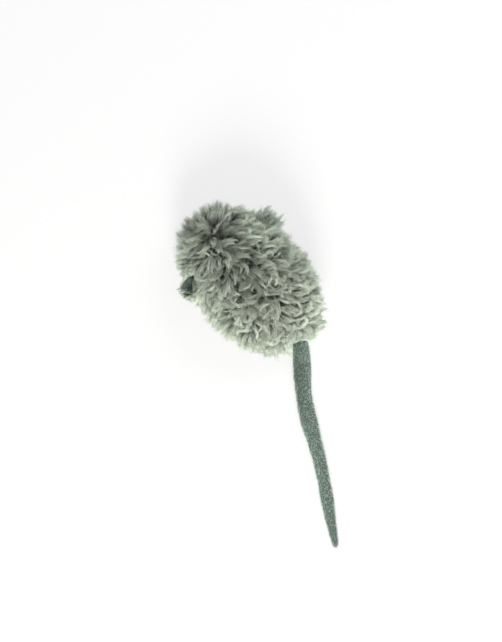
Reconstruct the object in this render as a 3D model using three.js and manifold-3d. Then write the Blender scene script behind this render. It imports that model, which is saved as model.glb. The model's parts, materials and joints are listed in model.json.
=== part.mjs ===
// Catnip mouse: a stuffed mouse in curly wool pile, with two small floppy ears and a limp plush tail.
// Millimetres, +Z up, nose towards -Y. The origin is the centre of the flat belly that it rests on.
import * as THREE from 'three';
import { mergeVertices } from 'three/addons/utils/BufferGeometryUtils.js';
import Module from 'manifold-3d';

const wasm = await Module();
wasm.setup();

// Body, measured over the standing pile
const bodyLength = 75;
const bodyWidth = 46;
const bodyHeight = 34;
const widestFromNose = 43;
const widestHeight = 13;
const noseDrop = 3;
const bellySag = 2.5;
const pileWall = 6;
const bellyWall = 5;

// Curves of the body: superellipse powers, and how much lower the head is than the back
const nosePower = 3.1;
const rumpPower = 2.2;
const sectionPower = 2.7;
const headLowShare = 0.24;

// Ears, from the fold at their sewn base
const earLength = 8.4;
const earWidth = 11.5;
const earPile = 2.6;
const earLining = 1.2;
const earRim = 1.1;
const earCup = 1.6;
const earFoldDepth = 3.2;
const earStationShare = -0.44;
const earFullnessPower = 0.6;
const earAroundDegrees = 8;
const earForwardDegrees = 10;
const earLiftDegrees = 12;
const earUpDegrees = 45;
const earDownDegrees = 45;
const earStepDegrees = 22.5;

// Tail, from the pivot in the rump seam
const tailLength = 95;
const tailWidth = 7.4;
const tailTipWidth = 4.2;
const tailThickness = 4.8;
const tailTipThickness = 3;
const tailTaperPower = 1.5;
const tailPivotDepth = 4.5;
const tailPivotHeight = 7.4;
const tailSettle = 14;
const tailRootLength = 14;
const tailFrontLength = 33;
const tailLeftDegrees = 30;
const tailRightDegrees = 80;
const tailStep = 5;

// The tail's course, across and back from its pivot, as shares that its length scales
const tailCourseShares = [
  [0, 0],
  [0.0135, 0.0385],
  [0.077, 0.123],
  [0.1625, 0.234],
  [0.232, 0.359],
  [0.296, 0.491],
  [0.359, 0.603],
  [0.4385, 0.7385],
  [0.508, 0.847],
];

// End of the tail's fabric, trapped in the rump seam
const tabLength = 7;
const tabWidth = 6;
const tabThickness = 2.4;

// Sachet of dried catnip
const sachetLength = 24;
const sachetWidth = 20;
const sachetHeight = 7;
const sachetCloth = 0.6;
const sachetHem = 2.5;

// Sewing thread
const threadRadius = 0.35;
const stitchThrow = 2;
const stitchPitch = 5;
const bellyStitchRise = 2.4;
const spineStartDegrees = 16;

// Clearances
const gap = 0.3;
const foldGap = 0.4;
const overrun = 1;

// Facets
const bodyRings = 22;
const bodySides = 28;
const innerRings = 16;
const innerSides = 20;
const earRings = 8;
const earSides = 12;
const tailSides = 12;
const endRings = 3;
const sachetSides = 16;
const domeSteps = 4;
const threadSides = 5;
const halvings = 30;
const weld = 1e-4;

const materials = {
  wool: new THREE.MeshStandardMaterial({ color: 0x8f9885, roughness: 0.95, metalness: 0 }),
  plush: new THREE.MeshStandardMaterial({ color: 0x6f8276, roughness: 0.85, metalness: 0 }),
  filling: new THREE.MeshStandardMaterial({ color: 0xece9e2, roughness: 1, metalness: 0 }),
  sachet: new THREE.MeshStandardMaterial({ color: 0xe3ddcb, roughness: 0.9, metalness: 0 }),
  catnip: new THREE.MeshStandardMaterial({ color: 0x77804c, roughness: 1, metalness: 0 }),
  thread: new THREE.MeshStandardMaterial({ color: 0x83907f, roughness: 0.7, metalness: 0 }),
};

const vertical = new THREE.Vector3(0, 0, 1);
const radians = THREE.MathUtils.degToRad;
const lerp = THREE.MathUtils.lerp;

// Turns a closed geometry into a solid that can be cut and joined
function solidOf(geometry) {
  const bare = geometry.clone();
  bare.deleteAttribute('normal');
  bare.deleteAttribute('uv');
  const merged = mergeVertices(bare, weld);
  const vertProperties = merged.getAttribute('position').array;
  const triVerts = new Uint32Array(merged.index.array);
  return new wasm.Manifold(new wasm.Mesh({ numProp: 3, vertProperties, triVerts }));
}

// A solid as a named mesh
function meshOf(name, solid, material) {
  const { vertProperties, triVerts } = solid.getMesh();
  const geometry = new THREE.BufferGeometry();
  geometry.setAttribute('position', new THREE.BufferAttribute(vertProperties, 3));
  geometry.setIndex(new THREE.BufferAttribute(triVerts, 1));
  geometry.computeVertexNormals();
  const mesh = new THREE.Mesh(geometry, material);
  mesh.name = name;
  return mesh;
}

// A closed form lofted through rings: a sphere whose rows become the rings, first and last as its poles
function lofted(rings, sides, place) {
  const sphere = new THREE.SphereGeometry(1, sides, rings.length - 1);
  const position = sphere.getAttribute('position');
  const columns = sides + 1;
  for (let i = 0; i < position.count; i++) {
    const row = Math.floor(i / columns);
    const turn = (2 * Math.PI * (i % columns)) / sides;
    const point = place(rings[rings.length - 1 - row], -Math.cos(turn), Math.sin(turn));
    position.setXYZ(i, point.x, point.y, point.z);
  }
  return sphere;
}

// Evenly turned rings from pole to pole: the place along the axis and the size of each
function sphereRings(count) {
  return Array.from({ length: count + 1 }, (_, i) => {
    const turn = (Math.PI * i) / count;
    const pole = i === 0 || i === count;
    return { along: -Math.cos(turn), size: pole ? 0 : Math.sin(turn) };
  });
}

function boxBetween(low, high) {
  const size = new THREE.Vector3().subVectors(high, low);
  const middle = new THREE.Vector3().addVectors(low, high).divideScalar(2);
  return solidOf(new THREE.BoxGeometry(size.x, size.y, size.z).translate(middle.x, middle.y, middle.z));
}

// A closed form turned about a vertical axis, from radii and heights listed up its outside
function turned(profile, widthShare) {
  const points = profile.map(([radius, height]) => new THREE.Vector2(radius, height));
  const lathe = new THREE.LatheGeometry(points, sachetSides).rotateX(Math.PI / 2);
  return lathe.scale(widthShare, 1, 1);
}

const curved = (value, power) => Math.sign(value) * Math.abs(value) ** power;

// The body's form

const widestY = widestFromNose - bodyLength / 2;
const bellyTop = bellyWall + gap;
const reach = bodyLength + tailLength;

// Half sizes of the form, drawn in everywhere by an inset
function formSizes(inset) {
  return {
    nose: widestFromNose - inset,
    rump: bodyLength - widestFromNose - inset,
    side: bodyWidth / 2 - inset,
    top: bodyHeight - widestHeight - inset,
    base: widestHeight + bellySag - inset,
  };
}

// Everything between two heights
function layer(low, high) {
  return boxBetween(new THREE.Vector3(-reach, -reach, low), new THREE.Vector3(reach, reach, high));
}

// How full the form is at a station that runs from -1 at the nose to 1 at the rump
function fullness(station) {
  const power = station < 0 ? nosePower : rumpPower;
  return Math.sqrt(Math.max(0, 1 - Math.abs(station) ** power));
}

const headShare = (station) => 1 - headLowShare * Math.max(0, -station);
const axisHeight = (station) => widestHeight - noseDrop * Math.max(0, -station) ** 2;

// A point of the form at a station, towards a direction across and up
function formPoint(inset, station, across, up) {
  const size = formSizes(inset);
  const full = fullness(station);
  const rise = up > 0 ? size.top * headShare(station) : size.base;
  return new THREE.Vector3(
    size.side * full * curved(across, 2 / sectionPower),
    widestY + station * (station < 0 ? size.nose : size.rump),
    axisHeight(station) + rise * full * curved(up, 2 / sectionPower),
  );
}

function bodyForm(inset, rings, sides) {
  const place = (ring, across, up) => formPoint(inset, ring.along, across, up);
  return solidOf(lofted(sphereRings(rings), sides, place));
}

const innerForm = (inset) => bodyForm(inset, innerRings, innerSides);

// How far the form reaches at a height below its widest line, towards a heading counted from the tail
function levelReach(inset, height, heading) {
  const size = formSizes(inset);
  let inside = 0;
  let outside = bodyLength;
  for (let i = 0; i < halvings; i++) {
    const middle = (inside + outside) / 2;
    const y = middle * Math.cos(heading);
    const station = (y - widestY) / (y < widestY ? size.nose : size.rump);
    const across = Math.abs((middle * Math.sin(heading)) / size.side) ** sectionPower;
    const down = Math.abs((axisHeight(station) - height) / size.base) ** sectionPower;
    if (Math.abs(station) < 1 && across + down < fullness(station) ** sectionPower) {
      inside = middle;
    } else {
      outside = middle;
    }
  }
  return inside;
}

// The ears' form, in their own frame: x from the fold to the tip, y along the base, z to the lined face

const earThickness = earPile + earLining;
const earMiddle = (earLength - earThickness / 2) / 2;
const earReach = (earLength + earThickness / 2) / 2;

function earForm(grow, halfThickness, lift) {
  return lofted(sphereRings(earRings), earSides, (ring, across, up) => new THREE.Vector3(
    earMiddle + (earReach + grow) * ring.size * across,
    (earWidth / 2 + grow) * ring.along,
    lift + halfThickness * curved(ring.size * up, earFullnessPower) + earCup * ring.along ** 2,
  ));
}

// Where an ear stands when it is folded up by an angle; the right one lies with its lining down
function earMatrix(side, foldDegrees) {
  const hinge = formPoint(
    earFoldDepth,
    earStationShare,
    Math.cos(radians(earAroundDegrees)),
    Math.sin(radians(earAroundDegrees)),
  );
  const heading = side > 0 ? -radians(earForwardDegrees) : Math.PI + radians(earForwardDegrees);
  const face = side > 0 ? 0 : Math.PI;
  return new THREE.Matrix4()
    .makeTranslation(side * hinge.x, hinge.y, hinge.z)
    .multiply(new THREE.Matrix4().makeRotationZ(heading))
    .multiply(new THREE.Matrix4().makeRotationY(-radians(earLiftDegrees + foldDegrees)))
    .multiply(new THREE.Matrix4().makeRotationX(face));
}

const earBlade = (grow) => earForm(grow, earThickness / 2 + grow, 0);
const earInlay = (grow) => earForm(grow - earRim, earLining / 2 + grow, earThickness / 2 - earLining / 2);

// The room that an ear needs in the pile as it folds
function earRoom(side) {
  const steps = Math.ceil((earUpDegrees + earDownDegrees) / earStepDegrees);
  const poses = Array.from({ length: steps + 1 }, (_, i) => {
    const matrix = earMatrix(side, lerp(-earDownDegrees, earUpDegrees, i / steps));
    const blade = solidOf(earBlade(foldGap).applyMatrix4(matrix));
    return blade.add(solidOf(earInlay(foldGap).applyMatrix4(matrix)));
  });
  return poses.reduce((room, pose) => room.add(pose));
}

function ear(side, name) {
  const back = solidOf(earBlade(0)).subtract(solidOf(earInlay(gap)));
  const lining = solidOf(earInlay(0));
  const group = new THREE.Group();
  group.add(
    meshOf(`${name}_back`, back, materials.wool),
    meshOf(`${name}_lining`, lining, materials.plush),
  );
  group.applyMatrix4(earMatrix(side, 0));
  return group;
}

// The tail's form

const tailPivotY = bodyLength / 2 - tailPivotDepth;
const tailCourse = tailCourseShares.map(([across, back]) => new THREE.Vector3(across, back, 0));
const tailScale = tailLength / new THREE.CatmullRomCurve3(tailCourse).getLength();
const tailPlan = new THREE.CatmullRomCurve3(tailCourse.map((point) => point.multiplyScalar(tailScale)));

const taper = (distance) => Math.max(0, distance / tailLength) ** tailTaperPower;
const tailWidthAt = (distance) => lerp(tailWidth, tailTipWidth, taper(distance));
const tailThicknessAt = (distance) => lerp(tailThickness, tailTipThickness, taper(distance));

// Height of the tail's middle: it falls from the seam and then lies flat
function tailHeight(distance) {
  const settled = THREE.MathUtils.smoothstep(distance, 0, tailSettle);
  return lerp(tailPivotHeight, tailThicknessAt(distance) / 2, settled);
}

// The tail's middle at a distance from the pivot, run on straight past both ends
function tailMiddle(distance) {
  const kept = THREE.MathUtils.clamp(distance, 0, tailLength);
  const point = tailPlan.getPointAt(kept / tailLength);
  const heading = tailPlan.getTangentAt(kept / tailLength);
  point.addScaledVector(heading, distance - kept);
  return new THREE.Vector3(point.x, tailPivotY + point.y, tailHeight(distance));
}

function tailPiece(rings) {
  return solidOf(lofted(rings, tailSides, (ring, across, up) => {
    const middle = tailMiddle(ring.distance);
    const along = tailMiddle(ring.distance + weld).sub(tailMiddle(ring.distance - weld)).normalize();
    const side = new THREE.Vector3().crossVectors(along, vertical).normalize();
    const top = new THREE.Vector3().crossVectors(side, along);
    return middle
      .addScaledVector(side, (across * ring.size * tailWidthAt(ring.distance)) / 2)
      .addScaledVector(top, (up * ring.size * tailThicknessAt(ring.distance)) / 2);
  }));
}

// Rings of a round end about a middle, from its pole to its full size, towards a side of -1 or 1
function roundEnd(middle, radius, side) {
  return Array.from({ length: endRings + 1 }, (_, i) => {
    const turn = (Math.PI / 2) * (i / endRings);
    return { distance: middle + side * radius * Math.cos(turn), size: i === 0 ? 0 : Math.sin(turn) };
  });
}

// Rings of a flat end
function flatEnd(distance) {
  return [{ distance, size: 0 }, { distance, size: 1 }];
}

// Full-sized rings between two ends
function runBetween(from, to) {
  const steps = Math.max(1, Math.round((to - from) / tailStep));
  return Array.from({ length: steps - 1 }, (_, i) => {
    return { distance: lerp(from, to, (i + 1) / steps), size: 1 };
  });
}

const liftAt = tailRootLength;
const bendAt = tailRootLength + tailFrontLength;
const liftRadius = tailThicknessAt(liftAt) / 2;
const bendRadius = tailWidthAt(bendAt) / 2;
const rootEnd = liftAt - liftRadius - foldGap;
const frontEnd = bendAt - bendRadius - foldGap;
const tipMiddle = tailLength - tailTipWidth / 2;

function tailRoot() {
  return tailPiece([
    ...roundEnd(0, tailWidth / 2, -1),
    ...runBetween(0, rootEnd),
    ...flatEnd(rootEnd).reverse(),
  ]);
}

function tailFront() {
  return tailPiece([
    ...roundEnd(liftAt, liftRadius, -1),
    ...runBetween(liftAt, frontEnd),
    ...flatEnd(frontEnd).reverse(),
  ]);
}

function tailEnd() {
  return tailPiece([
    ...roundEnd(bendAt, bendRadius, -1),
    ...runBetween(bendAt, tipMiddle),
    ...roundEnd(tipMiddle, tailTipWidth / 2, 1).reverse(),
  ]);
}

// The room that the tail's root needs in the rump as it swings
function tailRoom() {
  const radius = tailWidth / 2 + foldGap;
  const [across, back] = tailCourseShares[1];
  const rest = Math.atan2(across, back);
  const leftHeading = Math.PI / 2 - rest - radians(tailLeftDegrees);
  const rightHeading = Math.PI / 2 - rest + radians(tailRightDegrees);
  const corner = (heading, turn) => new THREE.Vector2(
    tailRootLength * Math.cos(heading) + radius * Math.cos(heading + turn),
    tailRootLength * Math.sin(heading) + radius * Math.sin(heading + turn),
  );
  const leftCorner = corner(leftHeading, -Math.PI / 2);
  const rightCorner = corner(rightHeading, Math.PI / 2);
  const plan = new THREE.Shape()
    .moveTo(leftCorner.x, leftCorner.y)
    .lineTo(rightCorner.x, rightCorner.y)
    .absarc(0, 0, radius, rightHeading + Math.PI / 2, leftHeading + 1.5 * Math.PI, false);
  const floor = tailHeight(tailWidth) - tailThickness / 2 - foldGap;
  const ceiling = tailPivotHeight + tailThickness / 2 + foldGap;
  const options = { depth: ceiling - floor, bevelEnabled: false, curveSegments: tailSides };
  return solidOf(new THREE.ExtrudeGeometry(plan, options).translate(0, tailPivotY, floor));
}

// The sewn-in end of the tail's fabric, lying on the belly panel

const tabBack = tailPivotY - tailWidth / 2 - foldGap;

function tailTab(grow) {
  return boxBetween(
    new THREE.Vector3(-tabWidth / 2 - grow, tabBack - tabLength - grow, bellyTop - grow),
    new THREE.Vector3(tabWidth / 2 + grow, tabBack + grow, bellyTop + tabThickness + grow),
  );
}

// The sachet: a flat bottom and a domed top sewn together round a hem, with the dried leaf between

const sachetWidthShare = sachetWidth / sachetLength;
const sachetRadius = sachetLength / 2;
const domeRadius = sachetRadius - sachetHem;
const hemBottom = bellyTop + sachetCloth + gap;
const sachetTopHeight = bellyTop + sachetHeight;

// Radii and heights up a dome from its foot to its crown
function dome(radius, foot, crown) {
  return Array.from({ length: domeSteps + 1 }, (_, i) => {
    const turn = (Math.PI / 2) * (i / domeSteps);
    return [i === domeSteps ? 0 : radius * Math.cos(turn), lerp(foot, crown, Math.sin(turn))];
  });
}

function sachetBottom() {
  const top = bellyTop + sachetCloth;
  const profile = [[0, bellyTop], [sachetRadius, bellyTop], [sachetRadius, top], [0, top]];
  return solidOf(turned(profile, sachetWidthShare));
}

function sachetTop() {
  const hemTop = hemBottom + sachetCloth;
  return solidOf(turned([
    ...dome(domeRadius - sachetCloth, hemBottom, sachetTopHeight - sachetCloth).reverse(),
    [sachetRadius, hemBottom],
    [sachetRadius, hemTop],
    ...dome(domeRadius, hemTop, sachetTopHeight),
  ], sachetWidthShare));
}

function catnip() {
  const inner = dome(domeRadius - sachetCloth - gap, hemBottom, sachetTopHeight - sachetCloth - gap);
  return solidOf(turned([[0, hemBottom], ...inner], sachetWidthShare));
}

// The hollow that the sachet fills in the stuffing, open to the belly
function sachetRoom() {
  const hemTop = hemBottom + sachetCloth + gap;
  return solidOf(turned([
    [0, bellyTop - overrun],
    [sachetRadius + gap, bellyTop - overrun],
    [sachetRadius + gap, hemTop],
    ...dome(domeRadius + gap, hemTop, sachetTopHeight + gap),
  ], sachetWidthShare));
}

// Seams: one zigzag thread along the back and one round the belly, each inside the pile's backing

const threadInset = pileWall + 2 * gap + threadRadius;
const channelInset = pileWall + 4 * gap + 2 * threadRadius;
const bellyStitchBase = bellyTop + gap + threadRadius;
const bellyStitchTop = bellyStitchBase + bellyStitchRise;

function thread(points) {
  const corners = Array.from({ length: threadSides }, (_, i) => {
    const turn = (2 * Math.PI * i) / threadSides;
    return new THREE.Vector2(threadRadius * Math.cos(turn), threadRadius * Math.sin(turn));
  });
  const extrudePath = new THREE.CatmullRomCurve3(points);
  const options = { steps: 2 * (points.length - 1), extrudePath, bevelEnabled: false };
  return solidOf(new THREE.ExtrudeGeometry(new THREE.Shape(corners), options));
}

function spineThread() {
  const stitches = 2 * Math.round(bodyLength / stitchPitch);
  const start = radians(spineStartDegrees);
  const points = Array.from({ length: stitches + 1 }, (_, i) => {
    const station = -Math.cos(lerp(start, Math.PI - start, i / stitches));
    const side = i % 2 ? 1 : -1;
    return formPoint(threadInset, station, 0, 1).setX((side * stitchThrow) / 2);
  });
  return thread(points);
}

// The belly thread runs from one side of the tail round the nose to the other
function bellyThread() {
  const stitches = 2 * Math.round((bodyLength + bodyWidth) / stitchPitch);
  const tabSide = tabWidth / 2 + 3 * gap + threadRadius;
  const start = Math.asin(tabSide / levelReach(threadInset, bellyStitchBase, 0));
  const points = Array.from({ length: stitches + 1 }, (_, i) => {
    const heading = lerp(start, 2 * Math.PI - start, i / stitches);
    const height = i % 2 ? bellyStitchTop : bellyStitchBase;
    const distance = levelReach(threadInset, height, heading);
    return new THREE.Vector3(distance * Math.sin(heading), distance * Math.cos(heading), height);
  });
  return thread(points);
}

// Grooves in the stuffing that leave the two threads room
function seamGrooves() {
  const half = stitchThrow / 2 + threadRadius + gap;
  const grooveTop = bellyStitchTop + threadRadius + 2 * gap;
  const spine = boxBetween(new THREE.Vector3(-half, -reach, bellyTop), new THREE.Vector3(half, reach, reach));
  return spine.add(layer(0, grooveTop));
}

// The body's pieces

const outer = bodyForm(0, bodyRings, bodySides);
const pile = outer.subtract(innerForm(pileWall)).subtract(tailRoom()).subtract(tailTab(gap));

function sidePanel(side) {
  const low = new THREE.Vector3(side > 0 ? gap / 2 : -reach, -reach, bellyTop);
  const high = new THREE.Vector3(side > 0 ? reach : -gap / 2, reach, reach);
  return pile.intersect(boxBetween(low, high)).subtract(earRoom(side));
}

function bellyPanel() {
  return outer.intersect(layer(0, bellyWall)).subtract(tailRoom());
}

function stuffing() {
  return innerForm(pileWall + gap)
    .subtract(seamGrooves())
    .add(innerForm(channelInset))
    .intersect(layer(bellyTop, reach))
    .subtract(sachetRoom())
    .subtract(tailRoom())
    .subtract(tailTab(gap));
}

const mouse = new THREE.Group();
mouse.add(
  meshOf('left_side_panel', sidePanel(1), materials.wool),
  meshOf('right_side_panel', sidePanel(-1), materials.wool),
  meshOf('belly_panel', bellyPanel(), materials.wool),
  meshOf('stuffing', stuffing(), materials.filling),
  meshOf('sachet_top', sachetTop(), materials.sachet),
  meshOf('sachet_bottom', sachetBottom(), materials.sachet),
  meshOf('catnip', catnip(), materials.catnip),
  meshOf('spine_seam_thread', spineThread(), materials.thread),
  meshOf('belly_seam_thread', bellyThread(), materials.thread),
  meshOf('tail_tab', tailTab(0), materials.plush),
  ear(1, 'left_ear'),
  ear(-1, 'right_ear'),
  meshOf('tail_root', tailRoot(), materials.plush),
  meshOf('tail_front', tailFront(), materials.plush),
  meshOf('tail_end', tailEnd(), materials.plush),
);

export default mouse;
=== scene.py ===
import json
import math

import bmesh
import bpy
import numpy as np
from bpy.props import FloatProperty, FloatVectorProperty, IntProperty, PointerProperty
from bpy.types import Operator, Panel, PropertyGroup
from mathutils import Matrix, Vector, noise
from mathutils.kdtree import KDTree


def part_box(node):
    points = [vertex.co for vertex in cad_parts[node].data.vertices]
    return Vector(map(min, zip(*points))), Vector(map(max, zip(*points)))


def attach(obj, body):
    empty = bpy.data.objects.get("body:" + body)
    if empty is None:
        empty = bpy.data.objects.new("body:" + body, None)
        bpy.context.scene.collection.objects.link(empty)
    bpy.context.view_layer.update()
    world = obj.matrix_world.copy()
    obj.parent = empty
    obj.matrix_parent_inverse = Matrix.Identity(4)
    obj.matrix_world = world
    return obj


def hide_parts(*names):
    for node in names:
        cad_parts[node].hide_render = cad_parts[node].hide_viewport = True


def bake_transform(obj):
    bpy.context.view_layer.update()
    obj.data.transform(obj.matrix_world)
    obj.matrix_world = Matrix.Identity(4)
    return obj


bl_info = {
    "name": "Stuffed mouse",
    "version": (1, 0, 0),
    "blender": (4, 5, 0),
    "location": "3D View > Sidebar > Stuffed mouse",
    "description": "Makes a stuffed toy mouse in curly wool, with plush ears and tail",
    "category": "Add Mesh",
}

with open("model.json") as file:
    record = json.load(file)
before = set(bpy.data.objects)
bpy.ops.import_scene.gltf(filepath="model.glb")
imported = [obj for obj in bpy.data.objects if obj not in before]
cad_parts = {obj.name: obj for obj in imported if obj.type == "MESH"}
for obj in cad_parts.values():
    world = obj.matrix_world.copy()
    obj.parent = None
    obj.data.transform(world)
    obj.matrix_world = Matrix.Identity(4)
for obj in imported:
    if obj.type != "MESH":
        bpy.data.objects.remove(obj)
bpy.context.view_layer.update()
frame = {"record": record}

MM = 0.001
TINY = 1e-12
FIBRE_SIDES = 3
FIBRE_STEPS = 6
FIBRE_MAP = "OFBake"
SIDES = {"left": 1, "right": -1}

side_low, side_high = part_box("left_side_panel")
_, belly_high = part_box("belly_panel")


# Properties


def span(name, text, size, low=0.0, high=200.0):
    """A length, given in millimetres."""
    return FloatProperty(
        name=name,
        description=text,
        default=size * MM,
        min=low * MM,
        max=high * MM,
        precision=5,
        unit="LENGTH",
    )


def share(name, text, value, low=0.0, high=1.0):
    """A share of something else."""
    return FloatProperty(name=name, description=text, default=value, min=low, max=high, subtype="FACTOR")


def power(name, text, value):
    """The power of a curve."""
    return FloatProperty(name=name, description=text, default=value, min=0.1, max=8.0)


def angle(name, text, degrees):
    """An angle, given in degrees."""
    return FloatProperty(name=name, description=text, default=math.radians(degrees), subtype="ANGLE")


def number(name, text, value, low=1, high=400):
    """A count."""
    return IntProperty(name=name, description=text, default=value, min=low, max=high)


def tone(name, text, colour):
    """A colour, in linear red, green and blue."""
    return FloatVectorProperty(
        name=name, description=text, default=colour, size=3, min=0.0, max=1.0, subtype="COLOR"
    )


class MouseBodySizes(PropertyGroup):
    """Sizes of the stuffed body under its pile"""

    widest_from_nose: span("Widest from nose", "Distance from the nose to the widest place", 43)
    widest_height: span("Widest height", "Height of the widest line", 13)
    nose_drop: span("Nose drop", "How much lower the widest line runs at the nose", 3)
    belly_sag: span("Belly sag", "How far the round belly would reach below the floor that flattens it", 2.5)
    nose_power: power("Nose power", "Curve of the nose seen from above", 3.1)
    rump_power: power("Rump power", "Curve of the rump seen from above", 2.2)
    section_power: power("Section power", "Squareness of the body's cross-section", 2.7)
    head_low: share("Low head", "How much lower the head is than the back", 0.24)
    pile: span("Pile", "Depth of the standing pile over the cloth", 4.0)
    belly_pile: span("Belly pile", "Depth of the flattened pile under the belly", 2.4)
    cloth: span("Cloth", "Thickness of the knitted backing", 0.9)
    slack: span("Slack", "How far the cloth is drawn in before it is filled", 0.9)
    voxel: span("Even mesh", "Size of the even mesh that the filling blows up", 2.4)
    fill_pressure: FloatProperty(
        name="Fill pressure", description="Pressure of the filling", default=4.0, min=0.0, max=50.0
    )
    fill_reach: span("Fill reach", "The furthest that the filling moves the cloth", 1.5)
    seam_depth: span("Seam depth", "How deep the seams are drawn in", 0.8)
    seam_width: span("Seam width", "How wide the seams are drawn in", 1.6)
    seam_gap: span("Seam gap", "Gap between two panels at a seam", 0.16)


class MouseWoolSizes(PropertyGroup):
    """Sizes of the curly pile"""

    cluster_spacing: span("Cluster spacing", "Least distance between the middles of two clusters", 4.0)
    cluster_pinch: share("Cluster pinch", "How far a lock's tip is drawn to the middle of its cluster", 0.5)
    lock_spacing: span("Lock spacing", "Least distance between the roots of two locks", 1.3)
    lock_fibres: number("Fibres in a lock", "How many fibres make up a lock of middling size", 20)
    lock_spread: share("Lock spread", "How much the locks differ in size", 0.3)
    lock_width: span("Lock width", "Half the width of a lock at its roots", 1.2)
    lock_depth: span("Lock depth", "Half the depth of a lock at its roots, the way it leans", 0.65)
    lock_pinch: share("Lock pinch", "How far a fibre's tip is drawn to the middle of its lock", 0.92)
    stray: share("Stray fibres", "Share of the fibres that keep out of the locks", 0.09)
    lock_length: span("Lock length", "Length of a lock on the back", 9.9)
    wave: span("Wave", "How far a lock swings from side to side", 0.8)
    belly_length: span("Belly length", "Length of a lock on the belly", 4.2)
    fibre: span("Fibre", "Thickness of a fibre at its root", 0.17)
    swirl: span("Swirl", "Size of the patches in which the locks lean one way", 6.5)


class MouseEarSizes(PropertyGroup):
    """Sizes of the ears, from the fold at their sewn base"""

    length: span("Length", "From the fold to the tip", 8.4)
    width: span("Width", "Along the sewn base", 11.5)
    pile: span("Pile", "Depth of the pile behind an ear", 2.6)
    lining: span("Lining", "Thickness of the plush lining", 1.2)
    rim: span("Rim", "How far the lining lies inside the rim", 1.4)
    cup: span("Cup", "How far the ear's ends stand up", 1.6)
    fullness: power("Fullness", "Curve of an ear's faces", 0.6)
    fold_depth: span("Fold depth", "How deep the fold lies in the pile", 3.2)
    station: share("Station", "Where the ears stand, from -1 at the nose to 1 at the rump", -0.44, -1.0)
    around: angle("Around", "How far round the body the ears stand, from its widest line", 8)
    forward: angle("Forward", "How far the ears are turned forward", 10)
    lift: angle("Lift", "How far the ears are lifted", 12)
    bowl: span("Bowl", "How deep the middle of an ear lies under its rim", 0.9)
    rear: span("Rear rim", "How much wider the rim is towards the rump", 2.4)
    lock_spacing: span("Lock spacing", "Least distance between the roots of two locks", 0.72)
    lock_length: span("Lock length", "Length of a lock on the back of an ear", 4.8)
    shown: angle("Shown", "How far forward from the tip the half that the body's pile leaves open faces", 31)


class MouseTailSizes(PropertyGroup):
    """Sizes of the tail, from its pivot in the rump seam"""

    length: span("Length", "From the pivot to the tip", 96.1)
    width: span("Width", "At the pivot", 7.4)
    tip_width: span("Tip width", "At the tip", 4.2)
    thickness: span("Thickness", "At the pivot", 4.8)
    tip_thickness: span("Tip thickness", "At the tip", 3)
    taper: power("Taper", "Curve of the taper", 1.5)
    settle: span("Settle", "Distance in which the tail falls to the floor", 14)
    nap: span("Nap", "Length of a tuft of the short pile", 1.0)
    tuft_spacing: span("Tuft spacing", "Least distance between the roots of two tufts", 0.52)
    tuft_fibres: number("Fibres in a tuft", "How many fibres make up a tuft of the short pile", 4)
    bare_from: span("Bare from", "Distance from the pivot at which the body's pile ends", 3.9)
    seam_depth: span("Seam depth", "How deep the seam is drawn in", 0.4)
    seam_width: span("Seam width", "Half the width of the seam's groove", 0.6)


class MouseSachetSizes(PropertyGroup):
    """Sizes of the sachet and of what it holds"""

    hem: span("Hem", "Width of the hem", 2.5)
    cloth: span("Cloth", "Thickness of the cloth", 0.6)
    crease: span("Crease", "Depth of the creases", 0.3)
    stitch: span("Stitch", "Length of a stitch and the gap after it", 2.4)
    flakes: number("Flakes", "Loose flakes of leaf", 420, 0, 5000)


class MouseColours(PropertyGroup):
    """Colours of the cloths and of what is inside them"""

    # The root colour is darker as painted shade down between the locks
    wool_root_shade: tone("Wool root", "The pile at its roots", (0.195, 0.21, 0.168))
    wool_tip: tone("Wool tip", "The pile at its tips", (0.86, 0.95, 0.81))
    wool_deep: tone("Deep wool", "The darkest locks at their tips", (0.36, 0.40, 0.32))
    # The ears' roots are paler as painted light where the ears lie in shade
    ear_root_painted_light: tone("Ear wool root", "The finer pile of the ears at its roots", (0.46, 0.50, 0.42))
    # The backing is dark as painted shade between the locks
    wool_cloth: tone("Wool backing", "The knitted cloth under the pile", (0.16, 0.18, 0.14))
    # Painted shade between the tufts of the plush
    plush_shade: tone("Deep plush", "Between the tufts of the plush", (0.085, 0.115, 0.096))
    plush: tone("Plush", "The plush of the tail and the ears", (0.105, 0.142, 0.118))
    plush_light: tone("Light plush", "The tips of the plush", (0.60, 0.77, 0.67))
    filling: tone("Filling", "The polyester filling", (0.83, 0.81, 0.76))
    sachet: tone("Sachet", "The undyed cloth of the sachet", (0.74, 0.70, 0.58))
    leaf: tone("Leaf", "The dried leaf", (0.17, 0.20, 0.075))
    thread: tone("Thread", "The sewing thread", (0.21, 0.26, 0.19))


class MouseStageSizes(PropertyGroup):
    """Camera and light"""

    view_across: span("View across", "Middle of the picture, across the body", 11.5, -200)
    view_along: span("View along", "Middle of the picture, along the body", 15.0, -200)
    view_height: span("View height", "Height of the plane that the picture is measured on", 10)
    view_long_side: span("Long side", "What the picture's long side shows at that height", 282.5, 0, 2000)
    view_turn: angle("View turn", "How far the camera is turned about the vertical", 139.0)
    lens: FloatProperty(name="Lens", description="Focal length in millimetres", default=100.0, min=10.0)
    floor: span("Floor", "Half the width of the floor", 1500, 0, 5000)


# Materials

# Where a Mix node keeps its sockets for colours
MIX_FACTOR = 0
MIX_FIRST = 6
MIX_SECOND = 7
MIX_RESULT = 2

# How every cloth and fibre shines
CLOTH_SPECULAR = 0.2
SHEEN_ROUGHNESS = 0.5


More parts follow.
